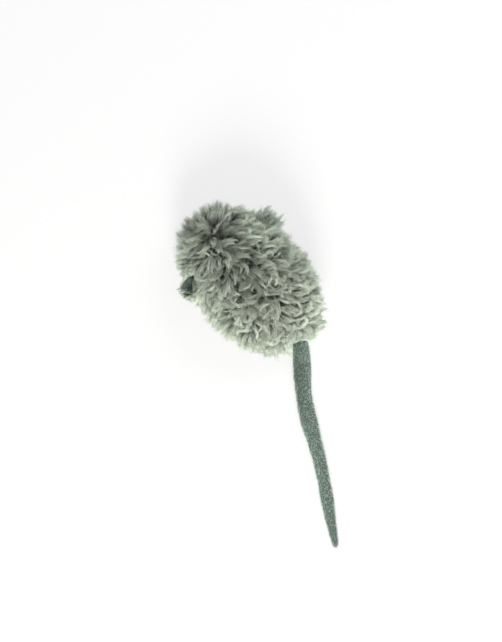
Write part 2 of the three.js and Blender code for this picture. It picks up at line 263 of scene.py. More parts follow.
class Wire:
    """A socket in a material. A sum of wires and numbers adds its Math nodes."""

    def __init__(self, paint, socket):
        self.paint = paint
        self.socket = socket

    def maths(self, operation, first, second=0.0):
        return self.paint.node("Math", {"operation": operation}, {0: first, 1: second})

    def __add__(self, other):
        return self.maths("ADD", self, other)

    def __radd__(self, other):
        return self.maths("ADD", other, self)

    def __mul__(self, other):
        return self.maths("MULTIPLY", self, other)

    def __rmul__(self, other):
        return self.maths("MULTIPLY", other, self)

    def above(self, low, high):
        """Rises smoothly from 0 at low to 1 at high."""
        sockets = {"Value": self, "From Min": low, "From Max": high}
        return self.paint.node("MapRange", {"interpolation_type": "SMOOTHSTEP"}, sockets)


class Paint:
    """A material and its nodes."""

    def __init__(self, name):
        self.material = bpy.data.materials.new(name)
        self.material.use_nodes = True
        self.tree = self.material.node_tree
        self.tree.nodes.clear()

    def node(self, kind, settings=None, sockets=None, output=0):
        """Adds a node, its settings first, then the values or links of its sockets, and gives one output."""
        made = self.tree.nodes.new("ShaderNode" + kind)
        for name, value in (settings or {}).items():
            setattr(made, name, value)
        for name, value in (sockets or {}).items():
            if isinstance(value, Wire):
                self.tree.links.new(value.socket, made.inputs[name])
            else:
                made.inputs[name].default_value = value
        return Wire(self, made.outputs[output]) if made.outputs else None

    def place(self):
        return self.node("TexCoord", output="Object")

    def noise(self, size, detail=2.0, rough=0.5):
        """Noise from 0 to 1 whose features have that size."""
        sockets = {"Vector": self.place(), "Scale": 1.0 / size, "Detail": detail, "Roughness": rough}
        return self.node("TexNoise", None, sockets)

    def mix(self, factor, first, second):
        """A colour between two colours."""
        sockets = {MIX_FACTOR: factor, MIX_FIRST: solid(first), MIX_SECOND: solid(second)}
        return self.node("Mix", {"data_type": "RGBA"}, sockets, MIX_RESULT)

    def bump(self, height, depth):
        return self.node("Bump", None, {"Height": height, "Distance": depth})

    def cloth(self, colour, roughness, normal=None, sheen=0.0):
        """Ends the material in a rough, unpolished surface."""
        sockets = {
            "Base Color": solid(colour),
            "Roughness": roughness,
            "Specular IOR Level": CLOTH_SPECULAR,
            "Sheen Weight": sheen,
            "Sheen Roughness": SHEEN_ROUGHNESS,
        }
        if normal:
            sockets["Normal"] = normal
        shader = self.node("BsdfPrincipled", None, sockets)
        self.node("OutputMaterial", None, {"Surface": shader})
        return self.material

    def fibre_place(self):
        """Along a fibre from its root, and across the tints of the pile."""
        where = self.node("UVMap", {"uv_map": FIBRE_MAP})
        along = self.node("SeparateXYZ", None, {"Vector": where}, "X")
        return along, Wire(self, along.socket.node.outputs["Y"])


def solid(colour):
    """A colour with its fourth number, or a wire as it is."""
    return colour if isinstance(colour, Wire) else (*colour, 1.0)


def dimmed(colour, part):
    """A colour at a part of its brightness."""
    return [part * value for value in colour]


def wool_fibre(colours, name="wool fibre", root=None):
    paint = Paint(name)
    along, tint = paint.fibre_place()
    tip = paint.mix(tint, colours.wool_deep, colours.wool_tip)
    # Darker roots: painted shade between the locks
    colour = paint.mix(along.above(0.05, 0.75), root or colours.wool_root_shade, tip)
    return paint.cloth(colour, 0.5, sheen=0.15)


def ear_fibre(colours):
    # Paler roots: painted light on ears that lie in shade
    return wool_fibre(colours, "ear wool fibre", colours.ear_root_painted_light)


def wool_cloth(colours):
    paint = Paint("wool backing")
    patches = paint.noise(4 * MM, detail=3.0)
    loops = paint.noise(0.5 * MM)
    colour = paint.mix(patches * 0.5 + loops * 0.5, dimmed(colours.wool_cloth, 0.6), colours.wool_cloth)
    return paint.cloth(colour, 0.95, paint.bump(loops, 0.2 * MM))


def plush_fibre(colours):
    paint = Paint("plush fibre")
    along, tint = paint.fibre_place()
    tip = paint.mix(tint, colours.plush, colours.plush_light)
    # The roots take the deep colour as painted shade between the tufts
    colour = paint.mix(along.above(-0.25, 0.6), colours.plush_shade, tip)
    return paint.cloth(colour, 0.75, sheen=0.2)


def plush_cloth(colours):
    paint = Paint("plush cloth")
    tufts = paint.noise(0.7 * MM, detail=3.0, rough=0.6)
    patches = paint.noise(5 * MM)
    # Mottled painted shade between the tufts
    shade = (tufts + patches * 0.35).above(0.45, 0.85)
    colour = paint.mix(shade, colours.plush_shade, colours.plush)
    return paint.cloth(colour, 0.85, paint.bump(tufts, 0.3 * MM), sheen=0.3)


def filling_fibre(colours):
    paint = Paint("filling")
    tufts = paint.noise(1.4 * MM, detail=4.0, rough=0.65)
    colour = paint.mix(tufts, dimmed(colours.filling, 0.8), colours.filling)
    return paint.cloth(colour, 0.95, paint.bump(tufts, 0.5 * MM), sheen=0.2)


def sachet_cloth(colours):
    paint = Paint("sachet cloth")
    fibres = paint.noise(0.45 * MM, detail=3.0, rough=0.7)
    colour = paint.mix(fibres, dimmed(colours.sachet, 0.82), colours.sachet)
    return paint.cloth(colour, 0.9, paint.bump(fibres, 0.12 * MM))


def dried_leaf(colours):
    paint = Paint("dried leaf")
    crumbs = paint.noise(0.9 * MM, detail=3.0, rough=0.6)
    colour = paint.mix(crumbs.above(0.3, 0.7), dimmed(colours.leaf, 0.5), colours.leaf)
    return paint.cloth(colour, 0.9, paint.bump(crumbs, 0.3 * MM))


def sewing_thread(colours):
    paint = Paint("sewing thread")
    plies = paint.noise(0.25 * MM)
    colour = paint.mix(plies, dimmed(colours.thread, 0.6), colours.thread)
    return paint.cloth(colour, 0.6, paint.bump(plies, 0.08 * MM))


FINISHES = {
    "wool fibre": wool_fibre,
    "ear wool fibre": ear_fibre,
    "wool backing": wool_cloth,
    "plush fibre": plush_fibre,
    "plush cloth": plush_cloth,
    "filling": filling_fibre,
    "sachet cloth": sachet_cloth,
    "dried leaf": dried_leaf,
    "sewing thread": sewing_thread,
}


def finish(name):
    """A finish by its name, made when it is first asked for."""
    found = bpy.data.materials.get(name)
    return found or FINISHES[name](bpy.context.scene.mouse_colours)


# Meshes

# The least angle of a corner that stays sharp
SHARP = math.radians(50)


def new_object(name, mesh):
    made = bpy.data.objects.new(name, mesh)
    bpy.context.scene.collection.objects.link(made)
    return made


def mesh_of(name, form, creased=False):
    """A mesh from a bmesh, which it uses up. A creased one keeps its sharp corners."""
    if creased:
        for edge in form.edges:
            edge.smooth = edge.calc_face_angle(0) < SHARP
    mesh = bpy.data.meshes.new(name)
    form.to_mesh(mesh)
    form.free()
    mesh.shade_smooth()
    return mesh


def dressed(piece, material, slot, body=None, replaced=()):
    """A finished piece: its material and the body that it rides on; the slot is not used."""
    piece.data.materials.clear()
    piece.data.materials.append(finish(material))
    if replaced:
        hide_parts(*replaced)
    if body:
        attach(piece, body)
    return piece


def settled(piece):
    """Applies a piece's modifiers as they stand at this frame."""
    evaluated = piece.evaluated_get(bpy.context.evaluated_depsgraph_get())
    mesh = bpy.data.meshes.new_from_object(evaluated)
    piece.modifiers.clear()
    old = piece.data
    piece.data = mesh
    bpy.data.meshes.remove(old)
    return piece


def places_of(mesh):
    found = np.empty(len(mesh.vertices) * 3)
    mesh.vertices.foreach_get("co", found)
    return found.reshape(-1, 3)


def move_to(mesh, places):
    mesh.vertices.foreach_set("co", places.ravel())
    mesh.update()


def triangles_of(mesh):
    """The vertices of a mesh's triangles, always in the same order.

    The operators that make a form can store its faces in another order each time.
    """
    triangles = []
    for face in mesh.polygons:
        ring = list(face.vertices)
        first = ring.index(min(ring))
        ring = ring[first:] + ring[:first]
        triangles.extend((ring[0], second, third) for second, third in zip(ring[1:], ring[2:]))
    return np.array(sorted(triangles))


def spans_of(corners):
    """The normals of triangles, each twice as long as its triangle is large."""
    return np.cross(corners[:, 1] - corners[:, 0], corners[:, 2] - corners[:, 0])


def normals_of(mesh):
    """The normals at a mesh's vertices."""
    triangles = triangles_of(mesh)
    places = places_of(mesh)
    found = np.zeros(places.shape)
    for vertices in triangles.T:
        np.add.at(found, vertices, spans_of(places[triangles]))
    return unit(found)


def lofted(rings, sides, place):
    """A closed form through rings: a sphere whose rows become the rings, the first and last as its poles.

    The sphere's faces all face one way, so the sign of the volume tells whether that is outwards.
    """
    form = bmesh.new()
    rows = len(rings) - 1
    bmesh.ops.create_uvsphere(form, u_segments=sides, v_segments=rows, radius=1)
    for vertex in form.verts:
        height = max(-1.0, min(1.0, vertex.co.z))
        row = round(math.acos(-height) / math.pi * rows)
        turn = math.atan2(vertex.co.y, vertex.co.x)
        vertex.co = place(rings[row], math.cos(turn), math.sin(turn))
    if form.calc_volume(signed=True) < 0:
        bmesh.ops.reverse_faces(form, faces=form.faces)
    return form


def sphere_rings(count):
    """Evenly turned rings from pole to pole: the place along the axis and the size of each."""
    turns = [math.pi * i / count for i in range(count + 1)]
    return [(-math.cos(turn), math.sin(turn)) for turn in turns]


def curved(value, exponent):
    return math.copysign(abs(value) ** exponent, value)


def smoothstep(value, low, high):
    """Rises smoothly from 0 at low to 1 at high, for a number or an array."""
    part = np.clip((value - low) / (high - low), 0, 1)
    return part * part * (3 - 2 * part)


def summed(weights, *masks):
    """The first weight, and each of the others where its mask is 1."""
    total = weights[0]
    for weight, mask in zip(weights[1:], masks):
        total = total + weight * mask
    return total


def changed(changes, *masks):
    """A factor of 1 that each change alters where its mask is 1."""
    total = 1.0
    for change, mask in zip(changes, masks):
        total = total * (1 + change * mask)
    return total


def unit(vectors):
    """Vectors made one long."""
    return vectors / np.maximum(np.linalg.norm(vectors, axis=-1, keepdims=True), TINY)


def noise_at(places, size, seed):
    """Three smooth numbers at each place, in patches of a size. A seed of 0 would follow the clock."""
    noise.seed_set(seed)
    return np.array([noise.noise_vector(Vector(place) / size) for place in places])


# Fibres

MERGE_DISTANCE = 1e-7
TRIES_PER_PLACE = 6
MAP_MARGIN = 0.02

# Where along a fibre it bends over, and how it turns aside and waves towards its tip
BEND_SPAN = (-0.1, 0.75)
TURN_POWER = 1.8
WAVE_TURN = 2.4 * math.pi
WAVE_SHIFT = 5

# How much the fibres of one lock differ in length and in the angles at which they stand
LENGTH_RANGE = (0.7, 1.06)
RISE_SPREAD = 0.14
FALL_SPREAD = 0.16
TWIST_SPREAD = 0.22

# Where along a fibre its lock draws it in, and how much of that each fibre takes
DRAW_SPAN = (0.16, 1.08)
DRAW_RANGE = (0.8, 1.1)
STRAY_DRAW = 0.25
DRAW_MOST = 0.97

# The fewest and the most fibres in a lock, as shares of a middling one
FEWEST_SHARE = 0.35
MOST_SHARE = 2.6

# How thick a fibre's tip is, as a share of its root
TIP_SHARE = 0.16


def fibre_section():
    """The round that every fibre is swept from."""
    found = bpy.data.objects.get("fibre section")
    if found:
        return found
    curve = bpy.data.curves.new("fibre section", "CURVE")
    ring = curve.splines.new("POLY")
    ring.points.add(FIBRE_SIDES - 1)
    for i, point in enumerate(ring.points):
        turn = -2 * math.pi * i / FIBRE_SIDES
        point.co = (math.cos(turn), math.sin(turn), 0, 1)
    ring.use_cyclic_u = True
    return new_object("fibre section", curve)


def clear_section():
    """Takes the fibres' section away once the pile is made."""
    found = bpy.data.objects.get("fibre section")
    if found:
        bpy.data.curves.remove(found.data)


def map_fibres(mesh, tints, count, steps):
    """Lays each fibre on the map: from root to tip one way, and at its tint the other way."""
    corners = np.empty(len(mesh.loops), int)
    mesh.loops.foreach_get("vertex_index", corners)
    ends = count * 2 * FIBRE_SIDES
    at_end = corners < ends
    in_tube = corners - ends
    fibre = np.where(at_end, count - 1 - corners // (2 * FIBRE_SIDES), in_tube // (steps * FIBRE_SIDES))
    end_along = 1 - corners % (2 * FIBRE_SIDES) // FIBRE_SIDES
    tube_along = in_tube % (steps * FIBRE_SIDES) // FIBRE_SIDES / (steps - 1)
    side = corners % FIBRE_SIDES / FIBRE_SIDES
    along = np.where(at_end, end_along, tube_along)
    room = 1 - 3 * MAP_MARGIN
    across = MAP_MARGIN + room * tints[fibre] + MAP_MARGIN * side
    lengthwise = MAP_MARGIN + room * along + MAP_MARGIN * np.where(at_end, side == 0, 0)
    mesh.uv_layers[0].name = FIBRE_MAP
    mesh.uv_layers[0].uv.foreach_set("vector", np.stack([lengthwise, across], 1).astype(np.float32).ravel())


def fibre_mesh(name, paths, thickness, tints):
    """Closed, tapering fibres along paths, in one mesh. thickness has a radius for every point."""
    count, steps = paths.shape[:2]
    curve = bpy.data.curves.new(name, "CURVE")
    curve.dimensions = "3D"
    curve.bevel_mode = "OBJECT"
    curve.bevel_object = fibre_section()
    curve.use_fill_caps = True
    places = np.concatenate([paths, np.ones((count, steps, 1))], axis=2).reshape(count, -1)
    for place, radii in zip(places, np.broadcast_to(thickness, (count, steps))):
        spline = curve.splines.new("POLY")
        spline.points.add(steps - 1)
        spline.points.foreach_set("co", place)
        spline.points.foreach_set("radius", radii)
    holder = new_object(name, curve)
    evaluated = holder.evaluated_get(bpy.context.evaluated_depsgraph_get())
    mesh = bpy.data.meshes.new_from_object(evaluated)
    bpy.data.curves.remove(curve)
    map_fibres(mesh, tints, count, steps)
    form = bmesh.new()
    form.from_mesh(mesh)
    bmesh.ops.remove_doubles(form, verts=form.verts, dist=MERGE_DISTANCE)
    bpy.data.meshes.remove(mesh)
    return mesh_of(name, form)


def scattered(mesh, spacing, rng):
    """Places spread evenly over a mesh, no two nearer than spacing, and the normals there."""
    triangles = triangles_of(mesh)
    corners, normals = places_of(mesh)[triangles], normals_of(mesh)[triangles]
    areas = np.linalg.norm(spans_of(corners), axis=1) / 2
    tries = int(TRIES_PER_PLACE * areas.sum() / spacing**2)
    face = rng.choice(len(areas), tries, p=areas / areas.sum())
    parts = rng.dirichlet((1, 1, 1), tries)
    places = np.einsum("ij,ijk->ik", parts, corners[face])
    facing = unit(np.einsum("ij,ijk->ik", parts, normals[face]))
    cells = {}
    kept = []
    around = [(i, j, k) for i in (-1, 0, 1) for j in (-1, 0, 1) for k in (-1, 0, 1)]
    for index, (place, cell) in enumerate(zip(places, np.floor(places / spacing).astype(int))):
        x, y, z = cell
        near = [other for i, j, k in around for other in cells.get((x + i, y + j, z + k), ())]
        if all(math.dist(place, other) >= spacing for other in near):
            cells.setdefault((x, y, z), []).append(place)
            kept.append(index)
    return places[kept], facing[kept]


class Groom:
    """How pile stands at its roots: where it leans, how long it is and how it bends over and turns."""

    def __init__(self, places, normals, comb, length, rise, fall, twist, wave=None):
        self.places = places
        self.normals = normals
        self.comb = comb
        self.length = length
        self.rise = rise
        self.fall = fall
        self.twist = twist
        self.wave = np.zeros(len(places)) if wave is None else wave

    def paths(self, steps):
        """Paths that stand up from the roots, bend over along the comb and turn aside towards their tips."""
        aside = np.cross(self.normals, self.comb)
        middles = (np.arange(steps - 1) + 0.5) / (steps - 1)
        lean = self.rise[:, None] + (self.fall - self.rise)[:, None] * smoothstep(middles, *BEND_SPAN)
        turn = self.twist[:, None] * middles**TURN_POWER
        heading = np.cos(lean)[..., None] * self.normals[:, None]
        heading = heading + (np.sin(lean) * np.cos(turn))[..., None] * self.comb[:, None]
        heading = heading + (np.sin(lean) * np.sin(turn))[..., None] * aside[:, None]
        stretches = heading * (self.length / (steps - 1))[:, None, None]
        paths = self.places[:, None] + np.cumsum(stretches, axis=1)
        paths = np.concatenate([self.places[:, None], paths], axis=1)
        along = np.linspace(0, 1, steps)
        swing = self.wave[:, None] * np.sin(WAVE_TURN * along + self.twist[:, None] * WAVE_SHIFT) * along
        return paths + swing[..., None] * aside[:, None]

    def thinned(self, counts, width, depth, rng):
        """Each lock's fibres, which start round its root, and how far out to its sides each one is."""
        names = ("places", "normals", "comb", "length", "rise", "fall", "twist", "wave")
        one = Groom(*(np.repeat(getattr(self, name), counts, axis=0) for name in names))
        count = len(one.places)
        aside = np.cross(one.normals, one.comb)
        size = np.repeat(np.sqrt(counts / counts.mean()), counts)
        out = size * np.sqrt(rng.random(count))
        way = rng.random(count) * 2 * math.pi
        along = (depth * out * np.cos(way))[:, None] * one.comb
        across = (width * out * np.sin(way))[:, None] * aside
        one.places = one.places + along + across
        one.length = one.length * rng.uniform(*LENGTH_RANGE, count)
        one.rise = one.rise + rng.normal(0, RISE_SPREAD, count)
        one.fall = one.fall + rng.normal(0, FALL_SPREAD, count)
        one.twist = one.twist + rng.normal(0, TWIST_SPREAD, count)
        return one, out / size * np.abs(np.sin(way))


def even_groom(places, normals, comb, length, ranges, rng):
    """Pile that stands alike everywhere, but for what each of its locks draws from the ranges."""
    count = len(places)
    return Groom(
        places,
        normals,
        comb,
        length * rng.uniform(*ranges["length"], count),
        np.radians(rng.uniform(*ranges["rise"], count)),
        np.radians(rng.uniform(*ranges["fall"], count)),
        np.radians(rng.normal(0, ranges["twist"], count)),
    )


def drawn_to(paths, guides, pinch):
    """Paths drawn to their guides, more towards the tips."""
    drawn = smoothstep(np.linspace(0, 1, paths.shape[1]), *DRAW_SPAN)
    drawn = np.multiply.outer(np.broadcast_to(pinch, len(paths)), drawn)[..., None]
    return paths * (1 - drawn) + guides * drawn


def tufted(groom, fibres, pinch, rng, guides=None, size=1.0, steps=FIBRE_STEPS):
    """Fibres gathered into locks, which lock each is in, and how far out to its sides."""
    sizes = bpy.context.scene.mouse_wool
    if guides is None:
        guides = groom.paths(steps)
    many = fibres * np.exp(rng.normal(0, 2 * sizes.lock_spread, len(guides)))
    counts = np.clip(np.round(many), fibres * FEWEST_SHARE, fibres * MOST_SHARE).astype(int)
    single, rim = groom.thinned(counts, sizes.lock_width * size, sizes.lock_depth * size, rng)
    own = single.paths(steps)
    pinch = np.repeat(np.broadcast_to(pinch, len(guides)), counts)
    stray = rng.random(len(own)) < sizes.stray
    pinch = np.where(stray, STRAY_DRAW * pinch, pinch * rng.uniform(*DRAW_RANGE, len(own)))
    drawn = drawn_to(own, np.repeat(guides, counts, axis=0), np.clip(pinch, 0, DRAW_MOST))
    return drawn, np.repeat(np.arange(len(guides)), counts), rim


def nearest_of(places, others):
    """For each place, which of the others is nearest."""
    tree = KDTree(len(others))
    for index, other in enumerate(others):
        tree.insert(other, index)
    tree.balance()
    return np.array([tree.find(place)[1] for place in places])


# Body

BODY_RINGS = 44
BODY_SIDES = 56
FILL_STEPS = 20


def body_point(inset, station, across, up):
    """A point of the body, drawn in from the tips of its pile, at a station and towards a direction."""
    sizes = bpy.context.scene.mouse_body
    widest_y = side_low.y + sizes.widest_from_nose
    reach = sizes.widest_from_nose if station < 0 else side_high.y - widest_y
    head = max(0.0, -station)
    middle = sizes.widest_height - sizes.nose_drop * head**2
    top = (side_high.z - sizes.widest_height - inset) * (1 - sizes.head_low * head)
    rise = top if up > 0 else sizes.widest_height + sizes.belly_sag - inset
    full = math.sqrt(max(0.0, 1 - abs(station) ** (sizes.nose_power if station < 0 else sizes.rump_power)))
    square = 2 / sizes.section_power
    return Vector(
        (
            (side_high.x - inset) * full * curved(across, square),
            widest_y + station * (reach - inset),
            middle + rise * full * curved(up, square),
        )
    )


def body_form(inset, floor):
    """The whole body, flattened where it lies."""

    def place(ring, across, up):
        point = body_point(inset, ring[0], across, up)
        point.z = max(point.z, floor)
        return point

    return lofted(sphere_rings(BODY_RINGS), BODY_SIDES, place)


def seam_height():
    """Height of the seam round the belly."""
    return belly_high.z


def seam_nearness(places, width):
    """How near places are to the seam along the back or round the belly, from 0 to 1."""
    over_belly = places[:, 2] - seam_height()
    back = np.exp(-((places[:, 0] / width) ** 2)) * (over_belly > 0)
    belly = np.exp(-((over_belly / width) ** 2))
    return np.maximum(back, belly)


def filled_body():
    """The body's cloth blown up by its filling, which the seams hold back."""
    sizes = bpy.context.scene.mouse_body
    form = body_form(sizes.pile + sizes.slack, sizes.belly_pile)
    body = new_object("filled body", mesh_of("filled body", form))
    remesh = body.modifiers.new("Even mesh", "REMESH")
    remesh.mode = "VOXEL"
    remesh.voxel_size = sizes.voxel
    settled(body)
    start = places_of(body.data)
    held = body.vertex_groups.new(name="seams")
    for index, near in enumerate(seam_nearness(start, sizes.voxel)):
        held.add([index], float(near), "REPLACE")
    cloth = body.modifiers.new("Filling", "CLOTH")
    cloth.settings.use_pressure = True
    cloth.settings.uniform_pressure_force = sizes.fill_pressure
    cloth.settings.effector_weights.gravity = 0
    cloth.settings.vertex_group_mass = held.name
    for step in range(FILL_STEPS):
        bpy.context.scene.frame_set(step + 1)
    settled(body)
    bpy.context.scene.frame_set(1)
    moved = places_of(body.data) - start
    reach = np.linalg.norm(moved, axis=1, keepdims=True)
    kept = start + moved * np.minimum(1, sizes.fill_reach / np.maximum(reach, TINY))
    kept[:, 2] = np.maximum(kept[:, 2], sizes.belly_pile)
    move_to(body.data, kept)
    smooth = body.modifiers.new("Finer", "SUBSURF")
    smooth.levels = smooth.render_levels = 1
    settled(body)
    places = places_of(body.data)
    drawn = sizes.seam_depth * seam_nearness(places, sizes.seam_width / 2)
    move_to(body.data, places - normals_of(body.data) * drawn[:, None])
    return body


def cut_out(body, name, planes):
    """The part of the body that lies in front of every plane."""
    form = bmesh.new()
    form.from_mesh(body.data)
    for place, facing in planes:
        geometry = form.verts[:] + form.edges[:] + form.faces[:]
        bmesh.ops.bisect_plane(form, geom=geometry, plane_co=place, plane_no=facing, clear_inner=True)
    return new_object(name, mesh_of(name, form))


def lined(piece, thickness):
    """Gives an open cloth its thickness, inwards."""
    wall = piece.modifiers.new("Thickness", "SOLIDIFY")
    wall.thickness = thickness
    wall.offset = -1
    return piece


class MOUSE_OT_skins(Operator):
    """Fills the body and cuts its cloth into two side panels and a belly"""

    bl_idname = "mouse.skins"
    bl_label = "Cloth of the body"
    bl_options = {"REGISTER", "UNDO"}

    def execute(self, context):
        sizes = context.scene.mouse_body
        body = filled_body()
        gap = sizes.seam_gap / 2
        over_belly = ((0, 0, seam_height() + gap), (0, 0, 1))
        for side, sign in SIDES.items():
            name = f"{side}_side_skin"
            panel = cut_out(body, name, [((sign * gap, 0, 0), (sign, 0, 0)), over_belly])
            lined(panel, sizes.cloth)
            dressed(panel, "wool backing", "wool", "mouse", [f"{side}_side_panel"])
        belly = cut_out(body, "belly_skin", [((0, 0, seam_height() - gap), (0, 0, -1))])
        lined(belly, sizes.cloth)
        dressed(belly, "wool backing", "wool", "mouse", ["belly_panel"])
        bpy.data.meshes.remove(body.data)
        return {"FINISHED"}


# Wool

# Where the pile is paler or darker, in millimetres across and along the body: place, size and how much. They
# are painted light and painted shade
LIGHT_AND_SHADE_PATCHES = (
    ((-13.0, -16.0), 6.0, 0.9),
    ((-19.0, -10.0), 5.0, 0.6),
    ((13.0, -25.0), 6.0, 0.5),
    ((-14.0, 6.0), 6.0, -0.3),
    ((-1.0, 28.0), 9.0, 0.4),
    ((-2.0, 37.0), 8.0, 0.3),
    ((13.0, 25.0), 9.0, 0.35),
    ((2.0, -2.0), 10.0, -0.2),
)

# Partings in the pile, seen from above: how strong each is, and its line in millimetres,
# across and along the body
PARTINGS = (
    (0.5, ((1.0, -28.0), (2.5, -20.0), (4.0, -12.0), (5.0, -2.0))),
    (1.3, ((-3.0, -19.6), (-6.5, -13.0), (-11.4, -8.6), (-18.4, -4.4))),
    (1.6, ((5.8, -28.4), (1.9, -30.4), (-4.5, -29.4), (-10.8, -26.4), (-16.8, -19.9))),
)
PARTING_WIDTH = 1.2 * MM
PARTING_FACING = 0.2

# The line along the back that the locks lean away from, and how far from it the edge lies
SPINE_SPAN = (-18 * MM, 20 * MM)
EDGE_REACH = 16 * MM

# Over which stretches the body's front begins, its underside ends, its head begins and its rump begins
FRONT_SPAN = (20 * MM, 30 * MM)
LOW_SPAN = (6 * MM, 15 * MM)
HEAD_SPAN = (12 * MM, 20 * MM)
RUMP_SPAN = (22 * MM, 32 * MM)

# The arc over the head that the locks part at: its foremost place, its middle and how wide it opens
ARC_FRONT = -30.5 * MM
ARC_MIDDLE = -4 * MM
ARC_WIDTH = 33 * MM
AHEAD_SPAN = (-3 * MM, 4 * MM)
FAN_WIDTH = 6 * MM

# How strongly the locks lean. Outwards: everywhere, at the edge and ahead of the arc.
# Astray: everywhere, at the edge and at the front.
LEAN_OUT = (0.25, 0.8, 1.2)
LEAN_ASTRAY = (1.0, -0.35, -0.45)
LEAN_BACK = 0.8
EDGE_LEAN_BACK = -0.6
EDGE_LEAN_DOWN = 0.3
LOW_LEAN_DOWN = 2.2

# The patches in which locks go astray: their size as a share of the swirl, their strength and seed
SWIRLS = ((1.0, 1.3, 23), (0.4, 0.9, 235))

# How much longer or shorter the locks are in a parting, on the head, at the front, on top and at the rump
LENGTH_CHANGES = (-0.1, -0.08, -0.27, 0.14, 0.2)
LOCK_RANGE = (0.8, 1.12)
HEAD_FACING = (0.4, 0.9)
TOP_FACING = (0.0, 0.5)

# How the locks stand, in degrees from upright: at their roots, and at their tips, where they curl over
RISE_RANGE = (2, 20)
FRONT_RISE = 8
CURL_RANGE = (112, 178)
FRONT_CURL = 54
EDGE_UNCURL = 82
RUMP_UNCURL = 20
HEAD_UNCURL = 0.3
TWIST_DEGREES = 95
FRONT_TWIST = -0.7
FRONT_WAVE = -0.5

# How strongly the locks are drawn together: everywhere, and the changes at the front and at the edge
PINCH_CHANGES = (1, -0.55, -0.3)

# The tints of the pile, from its deep colour at 0 to its pale one at 1. Painted light makes the edge and the
# rims of the locks paler, and painted shade makes the front and the partings darker
TINT_PATCH_SIZE = 5 * MM
TINT_PATCH_STRENGTH = 0.6
TINT_PATCH_SEED = 239
WOOL_TINT = 0.2
EDGE_PAINTED_LIGHT = 0.54
PARTING_PAINTED_SHADE = 0.15
FRONT_PAINTED_SHADE = 0.5
LOCK_RIM_PAINTED_LIGHT = 0.5
LOCK_TINT_SPREAD = 0.16
FIBRE_TINT_SPREAD = 0.26

# The flattened pile of the belly: shares of its length, and degrees
BELLY_PILE = {"length": (0.8, 1.15), "rise": (20, 40), "fall": (90, 115), "twist": 60}
BELLY_SWIRL_SEED = 4
BELLY_PINCH = 0.6
BELLY_TINT = 0.5

# Least heights of the fibres over the floor
WOOL_CLEARANCE = 0.12 * MM
NAP_CLEARANCE = 0.06 * MM

WOOL_BANDS = ("nose", "cheek", "shoulder", "flank", "rump")
WOOL_SEED = 12


def away_from(places, line):
    """How far places are from a line on the plan, and the direction that leads away from it."""
    best = np.full(len(places), np.inf)
    away = np.zeros((len(places), 3))
    ends = np.array(line) * MM
    for start, end in zip(ends, ends[1:]):
        run = end - start
        part = np.clip((places[:, :2] - start) @ run / (run @ run), 0, 1)
        gap = places[:, :2] - start - part[:, None] * run
        far = np.linalg.norm(gap, axis=1)
        nearer = far < best
        best[nearer] = far[nearer]
        away[nearer, :2] = unit(gap[nearer])
    return best, away


def combed(places, normals):
    """Which way the locks lean, and how much each lies at the edge, at the nose or in a parting."""
    sizes = bpy.context.scene.mouse_wool
    out = places.copy()
    out[:, 1] -= np.clip(places[:, 1], *SPINE_SPAN)
    out[:, 2] = 0
    edge = np.clip(np.linalg.norm(out, axis=1) / EDGE_REACH, 0, 1)
    front = smoothstep(-places[:, 1], *FRONT_SPAN)
    low = 1 - smoothstep(places[:, 2], *LOW_SPAN)
    arc = ARC_FRONT + (places[:, 0] - ARC_MIDDLE) ** 2 / ARC_WIDTH
    ahead = smoothstep(arc - places[:, 1], *AHEAD_SPAN)
    out[:, 0] -= np.clip(out[:, 0], -FAN_WIDTH, FAN_WIDTH) * ahead
    astray = sum(noise_at(places, sizes.swirl * size, seed) * strength for size, strength, seed in SWIRLS)
    lean = unit(out) * summed(LEAN_OUT, edge, ahead)[:, None]
    lean += astray * summed(LEAN_ASTRAY, edge, front)[:, None]
    lean[:, 1] += LEAN_BACK * (1 - ahead) * (1 + EDGE_LEAN_BACK * edge)
    lean[:, 2] -= EDGE_LEAN_DOWN * edge + LOW_LEAN_DOWN * low
    parting = np.zeros(len(places))
    for strength, line in PARTINGS:
        far, away = away_from(places, line)
        near = np.exp(-((far / PARTING_WIDTH) ** 2)) * (normals[:, 2] > PARTING_FACING)
        lean += away * (strength * near)[:, None]
        parting = np.maximum(parting, near)
    lean -= normals * np.sum(lean * normals, axis=1, keepdims=True)
    return unit(lean), edge, front, parting


def over_floor(paths, lowest=WOOL_CLEARANCE):
    """Keeps fibres over the floor: what would reach below it lies flat on it."""
    paths[..., 2] = np.maximum(paths[..., 2], lowest)
    return paths


def fibre_radii(steps, thickness, tip_share=TIP_SHARE):
    """Radii from root to tip."""
    along = np.linspace(0, 1, steps)
    return thickness / 2 * (tip_share + (1 - tip_share) * np.sqrt(np.clip(1 - along, 0, 1)))


def body_groom(places, normals, rng):
    """How the pile of the side panels stands."""
    sizes = bpy.context.scene.mouse_wool
    comb, edge, front, parting = combed(places, normals)
    count = len(places)
    head = smoothstep(-places[:, 1], *HEAD_SPAN) * smoothstep(np.abs(normals[:, 0]), *HEAD_FACING)
    rump = smoothstep(places[:, 1], *RUMP_SPAN)
    length = sizes.lock_length * rng.uniform(*LOCK_RANGE, count)
    top = smoothstep(normals[:, 2], *TOP_FACING)
    length *= changed(LENGTH_CHANGES, parting, head, front, top, rump)
    rise = np.radians(rng.uniform(*RISE_RANGE, count)) + np.radians(FRONT_RISE) * front
    fall = np.radians(rng.uniform(*CURL_RANGE, count)) * (1 - front) + np.radians(FRONT_CURL) * front
    fall -= np.radians(EDGE_UNCURL) * edge * (1 - front) + np.radians(RUMP_UNCURL) * rump
    fall = fall * (1 - HEAD_UNCURL * head * (1 - front))
    twist = np.radians(rng.normal(0, TWIST_DEGREES, count)) * (1 + FRONT_TWIST * front)
    wave = np.full(count, sizes.wave) * (1 + FRONT_WAVE * front)
    groom = Groom(places, normals, comb, length, rise, fall, twist, wave)
    return groom, edge, front, parting


